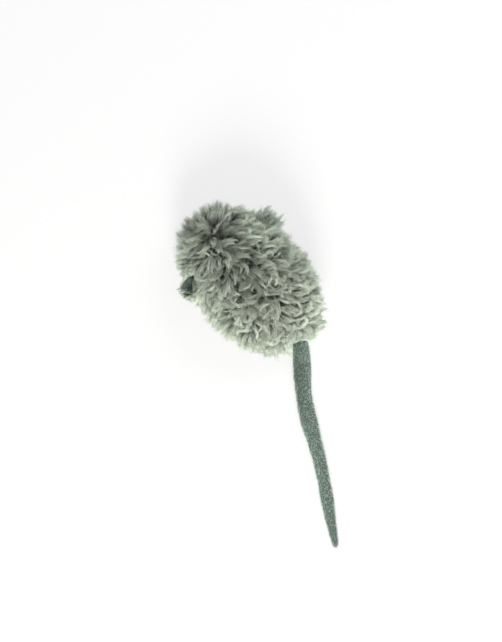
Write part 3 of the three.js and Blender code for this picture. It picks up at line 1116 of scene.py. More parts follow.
def body_wool(mesh, rng):
    """Fibres of the pile on a side panel, and their tints."""
    sizes = bpy.context.scene.mouse_wool
    clusters = body_groom(*scattered(mesh, sizes.cluster_spacing, rng), rng)[0]
    locks, edge, front, parting = body_groom(*scattered(mesh, sizes.lock_spacing, rng), rng)
    owner = nearest_of(locks.places, clusters.places)
    guides = drawn_to(locks.paths(FIBRE_STEPS), clusters.paths(FIBRE_STEPS)[owner], sizes.cluster_pinch)
    pinch = sizes.lock_pinch * summed(PINCH_CHANGES, front, edge)
    paths, lock, rim = tufted(locks, sizes.lock_fibres, pinch, rng, guides)
    patches = TINT_PATCH_STRENGTH * noise_at(locks.places, TINT_PATCH_SIZE, TINT_PATCH_SEED)[:, 0]
    # Painted light and painted shade in patches
    for middle, size, paler in LIGHT_AND_SHADE_PATCHES:
        gap = locks.places[:, :2] - np.array(middle) * MM
        patches += paler * np.exp(-np.sum(gap**2, axis=1) / (size * MM) ** 2)
    on_top = np.clip(locks.normals[:, 2], 0, 1)
    # Painted light at the edge and on the rims of the locks, painted shade at the front and in partings
    tints = WOOL_TINT + EDGE_PAINTED_LIGHT * edge + patches + rng.normal(0, LOCK_TINT_SPREAD, len(guides))
    tints -= PARTING_PAINTED_SHADE * parting + FRONT_PAINTED_SHADE * front * on_top
    tints = tints[lock] + LOCK_RIM_PAINTED_LIGHT * rim**2 + rng.normal(0, FIBRE_TINT_SPREAD, len(lock))
    kept = off_ears(paths) & off_tail(paths)
    return over_floor(paths[kept]), np.clip(tints[kept], 0, 1)


def belly_wool(mesh, rng):
    """Fibres of the flattened pile under the belly, and their tints."""
    sizes = bpy.context.scene.mouse_wool
    places, normals = scattered(mesh, sizes.lock_spacing, rng)
    swirl = noise_at(places, sizes.swirl, BELLY_SWIRL_SEED)
    comb = unit(swirl - normals * np.sum(swirl * normals, axis=1, keepdims=True))
    groom = even_groom(places, normals, comb, sizes.belly_length, BELLY_PILE, rng)
    fibres = max(1, sizes.lock_fibres // 3)
    paths, lock, _ = tufted(groom, fibres, BELLY_PINCH, rng)
    tints = BELLY_TINT + rng.normal(0, LOCK_TINT_SPREAD, len(places))[lock]
    return over_floor(paths), np.clip(tints, 0, 1)


def banded(name, paths, tints, thickness, bands):
    """Pieces of pile, shared out by bands along the body that are named from the nose."""
    edges = np.quantile(paths[:, 0, 1], np.linspace(0, 1, len(bands) + 1))
    band = np.clip(np.searchsorted(edges, paths[:, 0, 1], side="right") - 1, 0, len(bands) - 1)
    for index, label in enumerate(bands):
        inside = band == index
        piece_name = f"{name}_{label}" if label else name
        mesh = fibre_mesh(piece_name, paths[inside], thickness, tints[inside])
        yield new_object(piece_name, mesh)


class MOUSE_OT_wool(Operator):
    """Grows the curly pile on the body, lock by lock"""

    bl_idname = "mouse.wool"
    bl_label = "Wool of the body"
    bl_options = {"REGISTER", "UNDO"}

    def execute(self, context):
        sizes = context.scene.mouse_wool
        rng = np.random.default_rng(WOOL_SEED)
        radii = fibre_radii(FIBRE_STEPS, sizes.fibre)
        for side in SIDES:
            skin = bpy.data.objects[f"{side}_side_skin"]
            paths, tints = body_wool(skin.data, rng)
            for piece in banded(f"{side}_side_wool", paths, tints, radii, WOOL_BANDS):
                dressed(piece, "wool fibre", "wool", "mouse")
        paths, tints = belly_wool(bpy.data.objects["belly_skin"].data, rng)
        for piece in banded("belly_wool", paths, tints, radii, ("",)):
            dressed(piece, "wool fibre", "wool", "mouse")
        return {"FINISHED"}


# Ears

EAR_RINGS = 32
EAR_SIDES = 40
EAR_SEED = 27

# The cloth of an ear's back: half its thickness, its gap to the lining, and its outline's inset in rims
EAR_CLOTH = 0.5 * MM
EAR_CLOTH_GAP = 0.05 * MM
EAR_CLOTH_RIM = 0.9

# How far past its fold an ear carries pile, and which way its back faces
EAR_FOLD_LAP = 0.5 * MM
EAR_BACK_FACING = 0.6

# The part of an ear's outline that the body's pile leaves open, and how deep, in depths of its pile
EAR_OPEN_SHARE = 0.75
EAR_OPEN_DEPTH = 0.5

# The pile of an ear: shares of its length, and degrees
EAR_PILE = {"length": (0.75, 1.1), "rise": (5, 30), "fall": (78, 112), "twist": 55}

# How its locks fan out, go astray and are drawn together
EAR_FAN = 1.1
EAR_SWIRL = 0.8
EAR_SWIRL_SIZE = 3 * MM
EAR_SWIRL_SEED = 8
EAR_LOCK_SIZE = 0.6
EAR_PINCH = 0.6

# How they change at the rim, and where the rim is deeper, towards the rump
RIM_PINCH = 0.45
OVER_RIM = (0.5, 2.2)
RIM_BAND = (0.5, 0.85)
REAR_BAND = (0.3, 0.9)
RIM_SHORTER = 0.72
REAR_LONGER = 0.3
RIM_FALL = 38
RIM_STRAIGHTER = 0.6

# The same for the right ear, which lies turned over and shows its pile
TURNED_OVER_RIM = 0.4
TURNED_SHORTER = 0.35
TURNED_LONGER = 1.25
TURNED_RIM_FALL = 8

# The tints of the pile of the ears; the rims of their locks are paler as painted light
EAR_TINT = 0.75
EAR_RIM_PAINTED_LIGHT = 0.25
EAR_LOCK_TINT_SPREAD = 0.14
EAR_FIBRE_TINT_SPREAD = 0.18


def ear_matrix(sign):
    """Where an ear stands. The right one lies with its lining down."""
    sizes = bpy.context.scene.mouse_ear
    hinge = body_point(sizes.fold_depth, sizes.station, math.cos(sizes.around), math.sin(sizes.around))
    heading = -sizes.forward if sign > 0 else math.pi + sizes.forward
    face = 0 if sign > 0 else math.pi
    return (
        Matrix.Translation((sign * hinge.x, hinge.y, hinge.z))
        @ Matrix.Rotation(heading, 4, "Z")
        @ Matrix.Rotation(-sizes.lift, 4, "Y")
        @ Matrix.Rotation(face, 4, "X")
    )


def ear_outline():
    """Where an ear's outline has its middle, and how far it reaches along the ear from there."""
    sizes = bpy.context.scene.mouse_ear
    whole = sizes.pile + sizes.lining
    return (sizes.length - whole / 2) / 2, (sizes.length + whole / 2) / 2


def ear_form(grow, half_thickness, lift, rear=0.0):
    """An ear's form in its own frame: x from the fold to the tip, y along the base, z to the lined face."""
    sizes = bpy.context.scene.mouse_ear
    middle, reach = ear_outline()

    def place(ring, across, up):
        along, size = ring
        bowl = sizes.bowl * (1 - min(1.0, along**2 + (size * across) ** 2))
        return Vector(
            (
                middle + (reach + grow) * size * across,
                (sizes.width / 2 + grow - rear / 2) * along - rear / 2,
                lift + half_thickness * curved(size * up, sizes.fullness) + sizes.cup * along**2 - bowl,
            )
        )

    return lofted(sphere_rings(EAR_RINGS), EAR_SIDES, place)


def off_ears(paths):
    """Which fibres of the body keep off the open half of each ear."""
    sizes = bpy.context.scene.mouse_ear
    middle, reach = ear_outline()
    kept = np.ones(len(paths), bool)
    for sign in SIDES.values():
        inverse = np.array(ear_matrix(sign).inverted())
        x, y, z = np.moveaxis(paths @ inverse[:3, :3].T + inverse[:3, 3], -1, 0)
        inside = ((x - middle) / reach) ** 2 + (y / (sizes.width / 2)) ** 2 < EAR_OPEN_SHARE
        shown = (x - middle) * math.cos(sizes.shown) - y * math.sin(sizes.shown) > 0
        level = (sign * z > -EAR_OPEN_DEPTH * sizes.pile) & (sign * z < sizes.length)
        kept &= ~(inside & shown & level).any(axis=1)
    return kept


def ear_wool(mesh, turned, rng):
    """Fibres of the pile behind an ear and round its rim, in the ear's own frame."""
    sizes = bpy.context.scene.mouse_ear
    places, normals = scattered(mesh, sizes.lock_spacing, rng)
    spread = places[:, 1] / (sizes.width / 2)
    rear_rim = (places[:, 1] > sizes.width / 2 - sizes.rim - sizes.rear) & (not turned)
    behind = ((normals[:, 2] < EAR_BACK_FACING) | rear_rim) & (places[:, 0] > -EAR_FOLD_LAP)
    places, normals, spread = places[behind], normals[behind], spread[behind]
    count = len(places)
    rim = 1 - np.abs(normals[:, 2])
    over_rim = rng.uniform(*OVER_RIM, count) * rim * (TURNED_OVER_RIM if turned else 1)
    lean = np.stack([np.ones(count), EAR_FAN * spread, over_rim], axis=1)
    lean += noise_at(places, EAR_SWIRL_SIZE, EAR_SWIRL_SEED) * EAR_SWIRL
    lean -= normals * np.sum(lean * normals, axis=1, keepdims=True)
    length = sizes.lock_length * (TURNED_LONGER if turned else 1)
    groom = even_groom(places, normals, unit(lean), length, EAR_PILE, rng)
    groom.fall += np.radians(TURNED_RIM_FALL if turned else RIM_FALL) * rim
    groom.twist *= 1 - RIM_STRAIGHTER * rim
    pinch = np.full(count, EAR_PINCH)
    if turned:
        groom.length *= 1 - TURNED_SHORTER * rim
    else:
        middle, reach = ear_outline()
        out = np.hypot((places[:, 0] - middle) / reach, spread)
        near_edge = np.maximum(rim, smoothstep(out, *RIM_BAND))
        groom.length *= 1 - near_edge * (RIM_SHORTER - REAR_LONGER * smoothstep(spread, *REAR_BAND))
        pinch -= RIM_PINCH * rim
    fibres = max(1, bpy.context.scene.mouse_wool.lock_fibres // 2)
    paths, lock, rims = tufted(groom, fibres, pinch, rng, size=EAR_LOCK_SIZE)
    # Paler rims of the locks: painted light
    tints = EAR_TINT + rng.normal(0, EAR_LOCK_TINT_SPREAD, count)[lock] + EAR_RIM_PAINTED_LIGHT * rims**2
    tints += rng.normal(0, EAR_FIBRE_TINT_SPREAD, len(lock))
    return paths, np.clip(tints, 0, 1)


def placed(matrix, paths):
    """Paths taken from a piece's own frame to where it stands."""
    turn = np.array(matrix.to_3x3())
    return over_floor(paths @ turn.T + np.array(matrix.translation))


class MOUSE_OT_ears(Operator):
    """Sews the ears: a cloth back with its pile, and a cupped plush lining"""

    bl_idname = "mouse.ears"
    bl_label = "Ears"
    bl_options = {"REGISTER", "UNDO"}

    def execute(self, context):
        sizes = context.scene.mouse_ear
        rng = np.random.default_rng(EAR_SEED)
        top = (sizes.pile + sizes.lining) / 2
        wool_radii = fibre_radii(FIBRE_STEPS, context.scene.mouse_wool.fibre)
        nap_radii = fibre_radii(NAP_STEPS, NAP_FIBRE)
        for side, sign in SIDES.items():
            matrix = ear_matrix(sign)
            body = f"{side}_ear"
            rear = 0 if sign < 0 else sizes.rear
            form = ear_form(-sizes.rim, sizes.lining / 2, top - sizes.lining / 2, rear)
            lining = mesh_of(f"{side}_ear_plush", form)
            below = top - sizes.lining - EAR_CLOTH - EAR_CLOTH_GAP
            back = mesh_of(f"{side}_ear_cloth", ear_form(-sizes.rim * EAR_CLOTH_RIM, EAR_CLOTH, below))
            wool, wool_tints = ear_wool(back, sign < 0, rng)
            nap, nap_tints = ear_nap(lining, rng)
            for mesh, material, slot, replaced in (
                (back, "wool backing", "wool", f"{side}_ear_back"),
                (lining, "plush cloth", "plush", f"{side}_ear_lining"),
            ):
                mesh.transform(matrix)
                dressed(new_object(mesh.name, mesh), material, slot, body, [replaced])
            for name, paths, radii, tints, material, slot in (
                (f"{side}_ear_wool", wool, wool_radii, wool_tints, "ear wool fibre", "wool"),
                (f"{side}_ear_nap", nap, nap_radii, nap_tints, "plush fibre", "plush"),
            ):
                pile = new_object(name, fibre_mesh(name, placed(matrix, paths), radii, tints))
                dressed(pile, material, slot, body)
        return {"FINISHED"}


# Plush

NAP_STEPS = 4
NAP_FIBRE = 0.17 * MM

# The short pile: shares of its length, and degrees
NAP_PILE = {"length": (0.75, 1.15), "rise": (10, 35), "fall": (50, 80), "twist": 40}
NAP_SWIRL = 0.9
NAP_SWIRL_SIZE = 1.6 * MM
NAP_SWIRL_SEED = 6
NAP_PINCH = 0.55
NAP_TUFT_SIZE = 0.24

# The short pile of the ears, paler towards the rear tip as painted light and darker in the cup as painted
# shade
EAR_NAP_SPACING = 0.5 * MM
EAR_NAP_LENGTH = 0.8 * MM
EAR_NAP_FACING = 0.1
EAR_NAP_SPAN = (-0.4, 0.6)
EAR_NAP_PAINTED_LIGHT = 0.8
NAP_TINT_SPREAD = 0.1


def nap_tufts(places, normals, lie, length, rng):
    """Short fibres in small tufts that lie one way, and which tuft each is in."""
    lie = lie + noise_at(places, NAP_SWIRL_SIZE, NAP_SWIRL_SEED) * NAP_SWIRL
    lie = unit(lie - normals * np.sum(lie * normals, axis=1, keepdims=True))
    groom = even_groom(places, normals, lie, length, NAP_PILE, rng)
    fibres = bpy.context.scene.mouse_tail.tuft_fibres
    paths, tuft, _ = tufted(groom, fibres, NAP_PINCH, rng, size=NAP_TUFT_SIZE, steps=NAP_STEPS)
    return paths, tuft


def ear_nap(mesh, rng):
    """The short pile of an ear's lining, in the ear's own frame."""
    sizes = bpy.context.scene.mouse_ear
    places, normals = scattered(mesh, EAR_NAP_SPACING, rng)
    open_face = (normals[:, 2] > EAR_NAP_FACING) & (places[:, 0] > -EAR_FOLD_LAP)
    places, normals = places[open_face], normals[open_face]
    to_tip = np.array((1.0, 0, 0))
    paths, tuft = nap_tufts(places, normals, to_tip, EAR_NAP_LENGTH, rng)
    middle, reach = ear_outline()
    # Painted shade in the cup, painted light towards the rear tip
    toward_light = (places[:, 0] - middle) / reach + places[:, 1] / (sizes.width / 2)
    tints = EAR_NAP_PAINTED_LIGHT * smoothstep(toward_light, *EAR_NAP_SPAN) + rng.normal(0, NAP_TINT_SPREAD, len(places))
    return paths, np.clip(tints[tuft] + rng.normal(0, NAP_TINT_SPREAD, len(tuft)), 0, 1)


# Tail

# The tail's course, across and back from its pivot, as shares that its length scales
TAIL_COURSE_SHARES = (
    (0.0, 0.0),
    (0.0135, 0.0385),
    (0.077, 0.123),
    (0.1625, 0.234),
    (0.232, 0.359),
    (0.2943, 0.4925),
    (0.3573, 0.6045),
    (0.4385, 0.7385),
    (0.5075, 0.859),
)

# How much wider the limp tail lies than its even taper, at shares of its length
TAIL_FULLNESS = (
    (0.0, 0.82),
    (0.05, 0.86),
    (0.14, 1.02),
    (0.21, 1.0),
    (0.285, 0.9),
    (0.36, 1.03),
    (0.43, 1.08),
    (0.505, 0.93),
    (0.56, 0.9),
    (0.63, 0.9),
    (0.695, 0.88),
    (0.78, 1.02),
    (0.86, 0.92),
    (0.93, 0.74),
    (1.0, 0.48),
)

# How pale the tail's pile is, at shares of its length: darker at the root as painted shade from the rump
TAIL_TINTS_AND_SHADE = ((0.0, 0.42), (0.2, 0.44), (0.35, 0.62), (0.5, 0.74), (0.65, 0.7), (0.85, 0.6), (1.0, 0.55))

# Where the tail's seam runs round it, in degrees from its left edge, at shares of its length
TAIL_SEAM = (
    (0.0, 150),
    (0.32, 146),
    (0.4, 190),
    (0.5, 415),
    (0.66, 425),
    (0.72, 330),
    (0.84, 175),
    (1.0, 160),
)

# The tail's twist, in radians to the metre, at which its seam shows half as much
SEAM_TURNING = 80.0

# At how many places the tail's course and sizes are worked out, and how far each is blurred over them
TAIL_PLACES = 191
COURSE_BLUR = (20, 9)
SIZE_BLUR = (10, 4)

# Where the body's pile is looked for over the tail, and the stations that measure places on the tail
BARE_LENGTH = 8 * MM
BARE_STEPS = 9
BARE_REACH = 0.6 * MM
BARE_MARGIN = 0.3 * MM
TAIL_STATIONS = 250
TAIL_HIDDEN_START = -4 * MM

# The tail's cloth: its rings and sides, and its seam's roll in depths and half widths of the groove
TAIL_RING_STEP = 0.32 * MM
TAIL_SIDES = 56
ROUND_STEPS = 10
TAIL_SQUARENESS = 0.85
ROLL_HEIGHT = 0.6
ROLL_PLACE = 2.2
ROLL_WIDTH = 1.6
TAIL_NAP = (0.12 * MM, 0.8 * MM, 1)
CLOTH_CLEARANCE = 0.05 * MM

# The finer tufts of a roughened surface: their depth and size as shares of the larger ones
FINE_DEPTH = 0.5
FINE_SIZE = 0.45

# The pale strip beside the tail's seam, measured round a tail of this radius
STRIP_RADIUS = 3.2 * MM
STRIP_START = (-2.6 * MM, -1.9 * MM)
STRIP_END = (-0.3 * MM, 0.1 * MM)

# Flat ends face along the tail more than this and carry no pile, and the round tip is this long
END_FACING = 0.95
TIP_LENGTH = 3 * MM

# The tints of the tail's pile: beside the seam, at its edges as painted sheen, in partings as painted shade,
# and in patches
EDGE_BAND = (0.75, 1.0)
STRIP_TINT = 0.26
TAIL_EDGE_PAINTED_SHEEN = 0.3
PARTED_PAINTED_SHADE = 0.4
PARTED_SHARE = 0.2
PARTED_LESS = 0.14
PARTED_SPAN = (0.5, 0.7)
TAIL_PATCH_TINT = 0.16
TAIL_PATCH_SIZE = 2.5 * MM
TAIL_PATCH_SEED = 2
TUFT_TINT_SPREAD = 0.08
STRIP_EVENNESS = 0.5

# How thick the tips of the tail's pile are, as a share of their roots
TAIL_TIP_SHARE = 0.25
TAIL_SEED = 41

# The tail's joints and the ends of its lengths, as distances from the pivot
LIFT_AT = 14 * MM
BEND_AT = 47 * MM
ROOT_START = -3.5 * MM
ROOT_END = 7 * MM
FRONT_END = 30 * MM


def through(points, steps=40):
    """A smooth curve through points, with its spacing set by the square root of their distances."""
    points = np.array(points, float)
    padded = np.vstack([2 * points[0] - points[1], points, 2 * points[-1] - points[-2]])
    found = []
    for before, start, end, after in zip(padded, padded[1:], padded[2:], padded[3:]):
        pairs = ((before, start), (start, end), (end, after))
        first, run, last = [math.sqrt(math.dist(near, far)) for near, far in pairs]
        leave = (start - before) / first - (end - before) / (first + run) + (end - start) / run
        arrive = (end - start) / run - (after - start) / (run + last) + (after - end) / last
        part = np.arange(steps)[:, None] / steps
        squared, cubed = part**2, part**3
        found.append(
            (2 * cubed - 3 * squared + 1) * start
            + (cubed - 2 * squared + part) * leave * run
            + (3 * squared - 2 * cubed) * end
            + (cubed - squared) * arrive * run
        )
    return np.vstack([*found, points[-1:]])


def blurred(values, reach, spread):
    """A row of values blurred over that many places to each side."""
    weights = np.exp(-((np.arange(-reach, reach + 1) / spread) ** 2))
    ends = np.pad(values, reach, mode="reflect", reflect_type="odd")
    return np.convolve(ends, weights / weights.sum(), mode="valid")


class TailCourse:
    """The tail's middle line and its sizes at each distance from the pivot."""

    def __init__(self, sizes):
        self.sizes = sizes
        joint = next(j for j in frame["record"]["behaviour"]["joints"] if j["name"] == "tail_swing")
        self.pivot = Vector(joint["pos_m"])
        plan = through(TAIL_COURSE_SHARES)
        far = np.concatenate([[0], np.cumsum(np.linalg.norm(np.diff(plan, axis=0), axis=1))])
        self.far = np.linspace(0, sizes.length, TAIL_PLACES)
        even = [np.interp(self.far, far * (sizes.length / far[-1]), column) for column in plan.T]
        smooth = np.stack([blurred(column, *COURSE_BLUR) for column in even], axis=1)
        self.plan = smooth * (sizes.length / far[-1])
        shares = self.far / sizes.length
        self.fullness = blurred(np.interp(shares, *zip(*TAIL_FULLNESS)), *SIZE_BLUR)
        self.seam = np.radians(blurred(np.interp(shares, *zip(*TAIL_SEAM)), *SIZE_BLUR))
        turning = np.gradient(self.seam, self.far) / SEAM_TURNING
        self.seam_shown = 1 / (1 + turning**2)

    def taper(self, distance):
        return max(0.0, distance / self.sizes.length) ** self.sizes.taper

    def width(self, distance):
        part = self.taper(distance)
        even = self.sizes.width * (1 - part) + self.sizes.tip_width * part
        return even * np.interp(distance, self.far, self.fullness)

    def thickness(self, distance):
        part = self.taper(distance)
        return self.sizes.thickness * (1 - part) + self.sizes.tip_thickness * part

    def height(self, distance):
        fallen = float(smoothstep(distance, 0, self.sizes.settle))
        return self.pivot.z * (1 - fallen) + self.thickness(distance) / 2 * fallen

    def middle(self, distance):
        kept = min(max(distance, 0.0), self.sizes.length)
        across = np.interp(kept, self.far, self.plan[:, 0])
        back = np.interp(kept, self.far, self.plan[:, 1])
        point = Vector((across, self.pivot.y + back, self.height(distance)))
        if distance != kept:
            end = (0, 1) if distance < 0 else (-2, -1)
            run = self.plan[end[1]] - self.plan[end[0]]
            point += Vector((*run, 0)).normalized() * (distance - kept)
        return point

    def axes(self, distance, step=0.4 * MM):
        """The middle, the side and the top of the tail at a distance."""
        along = (self.middle(distance + step) - self.middle(distance - step)).normalized()
        side = along.cross(Vector((0, 0, 1))).normalized()
        return self.middle(distance), side, side.cross(along)

    def past_seam(self, distance, turn):
        """How far round the tail a place lies past its seam, from -half to half a turn."""
        ahead = turn - np.interp(distance, self.far, self.seam)
        return (ahead + math.pi) % (2 * math.pi) - math.pi

    def located(self, places, normals):
        """How far along the tail and how far round it places are, and how much they face along it."""
        stations = np.linspace(TAIL_HIDDEN_START, self.sizes.length, TAIL_STATIONS)
        frames = [self.axes(station) for station in stations]
        nearest = nearest_of(places, [middle for middle, _, _ in frames])
        middles, sides, tops = (np.array([list(one[i]) for one in frames])[nearest] for i in range(3))
        off = places - middles
        turn = np.arctan2(np.sum(off * tops, axis=1), np.sum(off * sides, axis=1))
        return stations[nearest], turn, np.abs(np.sum(normals * np.cross(tops, sides), axis=1))


def off_tail(paths):
    """Which fibres of the body don't hang far over the tail where it leaves the rump."""
    sizes = bpy.context.scene.mouse_tail
    course = TailCourse(sizes)
    over = np.zeros(len(paths), bool)
    for distance in np.linspace(sizes.bare_from, sizes.bare_from + BARE_LENGTH, BARE_STEPS):
        middle, side, _ = course.axes(distance)
        off = paths - np.array(middle)
        across = np.abs(off @ np.array(side))
        along = np.abs(off @ np.array(Vector((0, 0, 1)).cross(side)))
        near = (along < BARE_REACH) & (across < course.width(distance) / 2 + BARE_MARGIN)
        over |= (near & (off[..., 2] > 0)).any(axis=1)
    return ~over


def tail_rings(course, start, end, round_start, round_end):
    """Distances and sizes of the rings of one length of the tail, with a flat or a round end each way."""
    turns = [math.pi / 2 * i / ROUND_STEPS for i in range(1, ROUND_STEPS + 1)]
    rounded = [(1 - math.sin(turn), math.cos(turn)) for turn in turns]
    start_radius = course.width(start) / 2 if round_start else 0
    end_radius = course.width(end) / 2 if round_end else 0
    first = start + start_radius
    last = end - end_radius
    count = max(1, round((last - first) / TAIL_RING_STEP))
    run = [(first + (last - first) * i / count, 1.0) for i in range(count + 1)]
    head = [(start, 0.0)]
    foot = [(end, 0.0)]
    if round_start:
        head = [(start + start_radius * part, size) for part, size in reversed(rounded)]
    if round_end:
        foot = [(end - end_radius * part, size) for part, size in rounded]
    return head + run + foot


def tail_form(course, rings):
    """One length of the tail, drawn in along its seam, with a soft roll beside it."""
    tail = bpy.context.scene.mouse_tail

    def place(ring, across, up):
        distance, size = ring
        middle, side, top = course.axes(distance)
        width = course.width(distance) * size / 2
        thickness = course.thickness(distance) * size / 2
        past = course.past_seam(distance, math.atan2(up, across)) * width
        depth = tail.seam_depth * np.interp(distance, course.far, course.seam_shown)
        drawn = depth * math.exp(-((past / tail.seam_width) ** 2))
        past_roll = (past + ROLL_PLACE * tail.seam_width) / (ROLL_WIDTH * tail.seam_width)
        roll = ROLL_HEIGHT * depth * math.exp(-(past_roll**2))
        grown = 1 + (roll - drawn) / thickness if size > 0.5 else 1
        return middle + (side * (across * width) + top * (curved(up, TAIL_SQUARENESS) * thickness)) * grown

    return lofted(rings, TAIL_SIDES, place)


def napped(mesh, depth, size, seed):
    """Roughens a surface with soft tufts."""
    places = places_of(mesh)
    finer = noise_at(places, size * FINE_SIZE, seed + 1)[:, 0]
    height = noise_at(places, size, seed)[:, 0] + FINE_DEPTH * finer
    move_to(mesh, places + normals_of(mesh) * (depth * height)[:, None])
    return mesh


def tail_nap(mesh, course, rng):
    """Short tufts on a length of the tail, lying towards its tip. They are paler beside the seam."""
    sizes = course.sizes
    places, normals = scattered(mesh, sizes.tuft_spacing, rng)
    distance, turn, ahead = course.located(places, normals)
    open_side = (ahead < END_FACING) | (distance > sizes.length - TIP_LENGTH)
    places, normals, distance, turn = (values[open_side] for values in (places, normals, distance, turn))
    lie = unit(np.array(course.middle(sizes.length)) - places)
    paths, tuft = nap_tufts(places, normals, lie, sizes.nap, rng)
    past = course.past_seam(distance, turn) * STRIP_RADIUS
    strip = smoothstep(past, *STRIP_START) * (1 - smoothstep(past, *STRIP_END))
    strip *= np.interp(distance, course.far, course.seam_shown)
    edge = smoothstep(np.abs(np.cos(turn)), *EDGE_BAND)
    shares = distance / sizes.length
    likely = PARTED_SHARE - PARTED_LESS * smoothstep(shares, *PARTED_SPAN)
    parted = (rng.random(len(places)) < likely) * (1 - strip) * (1 - edge)
    # Darker near the root: painted shade from the rump
    tints = np.interp(shares, *zip(*TAIL_TINTS_AND_SHADE))
    # Paler edges: painted sheen; darker partings: painted shade
    tints += STRIP_TINT * strip + TAIL_EDGE_PAINTED_SHEEN * edge - PARTED_PAINTED_SHADE * parted
    tints += TAIL_PATCH_TINT * noise_at(places, TAIL_PATCH_SIZE, TAIL_PATCH_SEED)[:, 1]
    tints += rng.normal(0, TUFT_TINT_SPREAD, len(places)) * (1 - STRIP_EVENNESS * strip)
    tints = tints[tuft] + rng.normal(0, TUFT_TINT_SPREAD, len(tuft))
    return over_floor(paths, NAP_CLEARANCE), np.clip(tints, 0, 1)


class MOUSE_OT_tail(Operator):
    """Lays the limp plush tail in three lengths"""

    bl_idname = "mouse.tail"
    bl_label = "Tail"
    bl_options = {"REGISTER", "UNDO"}

    def execute(self, context):
        sizes = context.scene.mouse_tail
        course = TailCourse(sizes)
        rng = np.random.default_rng(TAIL_SEED)
        lengths = (
            ("tail_root", ROOT_START, ROOT_END, "mouse", 0.0, 2.5 * MM, 5.5 * MM),
            ("tail_front", ROOT_END, FRONT_END, "tail_root", LIFT_AT, 4.5 * MM, 4.5 * MM),
            ("tail_end", FRONT_END, sizes.length, "tail_front", BEND_AT, 5.5 * MM, 5.5 * MM),
        )
        radii = fibre_radii(NAP_STEPS, NAP_FIBRE, TAIL_TIP_SHARE)
        for node, start, end, parent, joint, before, after in lengths:
            rings = tail_rings(course, start, end, node == "tail_root", node == "tail_end")
            cover = mesh_of(f"{node}_plush", tail_form(course, rings), creased=True)
            napped(cover, *TAIL_NAP)
            move_to(cover, over_floor(places_of(cover), CLOTH_CLEARANCE))
            piece = new_object(cover.name, cover)
            dressed(piece, "plush cloth", "plush", None, [node])
            paths, tints = tail_nap(cover, course, rng)
            nap = new_object(f"{node}_nap", fibre_mesh(f"{node}_nap", paths, radii, tints))
            dressed(nap, "plush fibre", "plush")
            for part in (piece, nap):
                course.middle(joint - before)
                course.middle(joint + after)
                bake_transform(part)
        return {"FINISHED"}


# Filling, sachet and seams

# How a heap rises from its edge to its middle
HEAP_SPREAD = 2.4
HEAP_FULLNESS = 0.6

# The sachet's cloths: their grid, how square their corners are, and their creases, large and small
SHEET_GRID = 48
CORNER_POWER = 8
CREASE_SIZE = 2.6 * MM
SMALL_CREASES = 0.5
HEM_CREASES = 0.25
UPPER_SEED = 3
LOWER_SEED = 6
HEM_GAP = 0.05 * MM

# The stitches round the hem: the share of each step that shows, its points, and its arch over the cloth
STITCH_SPAN = (0.15, 0.75)
STITCH_POINTS = 5
STITCH_LIFT = 0.06 * MM
STITCH_ARCH = 0.22 * MM
STITCH_DIP = 0.35
STITCH_RADIUS = 0.16 * MM

# The leaf: its mesh, its gaps under the sachet's cloth, and its loose flakes
LEAF_RINGS = 36
LEAF_SIDES = 48
LEAF_GAP = 0.5 * MM
FLAKE_GAP = 0.6 * MM
FLAKE_REACH = 0.85
FLAKE_HEIGHTS = (0.75, 1.0)
FLAKE_TURN = 6.3
FLAKE_TILT = 0.5
FLAKE_LENGTHS = (0.6, 1.3)
FLAKE_WIDTHS = (0.4, 0.9)
FLAKE_CORNERS = 5
FLAKE_RADII = (0.8 * MM, 0.6 * MM)
FLAKE_THICKNESS = 0.14 * MM
LEAF_SEED = 8

# The filling: its gaps inside the cloth, its hollow round the sachet, and its mesh
FILLING_GAP = 0.4 * MM
FILLING_FLOOR_GAP = 0.3 * MM
HOLLOW_GAP = 0.4 * MM
HOLLOW_ROOM = 1.5 * MM
HOLLOW_RISE = 0.6 * MM
HOLLOW_SQUARENESS = 0.4
HOLLOW_RINGS = 40
HOLLOW_SIDES = 64
FILLING_VOXEL = 0.9 * MM

# The sewn-in end of the tail
TAB_RINGS = 28
TAB_SIDES = 36
TAB_SQUARENESS = 0.5

# Depth, size and seed of the uneven surfaces
LEAF_NAP = (0.25 * MM, 1.2 * MM, 5)
FILLING_NAP = (0.22 * MM, 2.4 * MM, 11)
TAB_NAP = (0.12 * MM, 0.9 * MM, 2)


def heaped(x, y, half):
    """How high a sachet or its leaf stands at a place, from 0 at its hem to 1 in the middle."""
    parts = (abs(x / half.x), abs(y / half.y))
    across, along = [max(0.0, 1 - part**HEAP_SPREAD) ** HEAP_FULLNESS for part in parts]
    return across * along


def sachet_half(grow=0.0):
    """Half the size of the sachet inside its hem."""
    low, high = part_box("sachet_top")
    kept = grow - bpy.context.scene.mouse_sachet.hem
    return Vector((high.x + kept, high.y + kept, high.z - low.z))


def sachet_sheet(name, high, hem_at, dome, seed):
    """One cloth of the sachet, flat at its hem and raised inside it, with soft creases."""
    sizes = bpy.context.scene.mouse_sachet
    half = sachet_half()
    form = bmesh.new()
    bmesh.ops.create_grid(form, x_segments=SHEET_GRID, y_segments=SHEET_GRID, size=1)
    for vertex in form.verts:
        x, y, _ = vertex.co
        round_off = (abs(x) ** CORNER_POWER + abs(y) ** CORNER_POWER) ** (1 / CORNER_POWER)
        corner = max(abs(x), abs(y)) / max(TINY, round_off)
        x, y = x * corner * high.x, y * corner * high.y
        crease = noise.noise(Vector((x, y, seed * MM)) / CREASE_SIZE)
        crease += SMALL_CREASES * noise.noise(Vector((x, y, 0)) / MM)
        raised = dome * heaped(x, y, half)
        depth = sizes.crease * crease * min(1.0, HEM_CREASES + raised / MM)
        vertex.co = (x, y, hem_at + raised + depth)
    piece = new_object(name, mesh_of(name, form))
    return lined(piece, sizes.cloth)


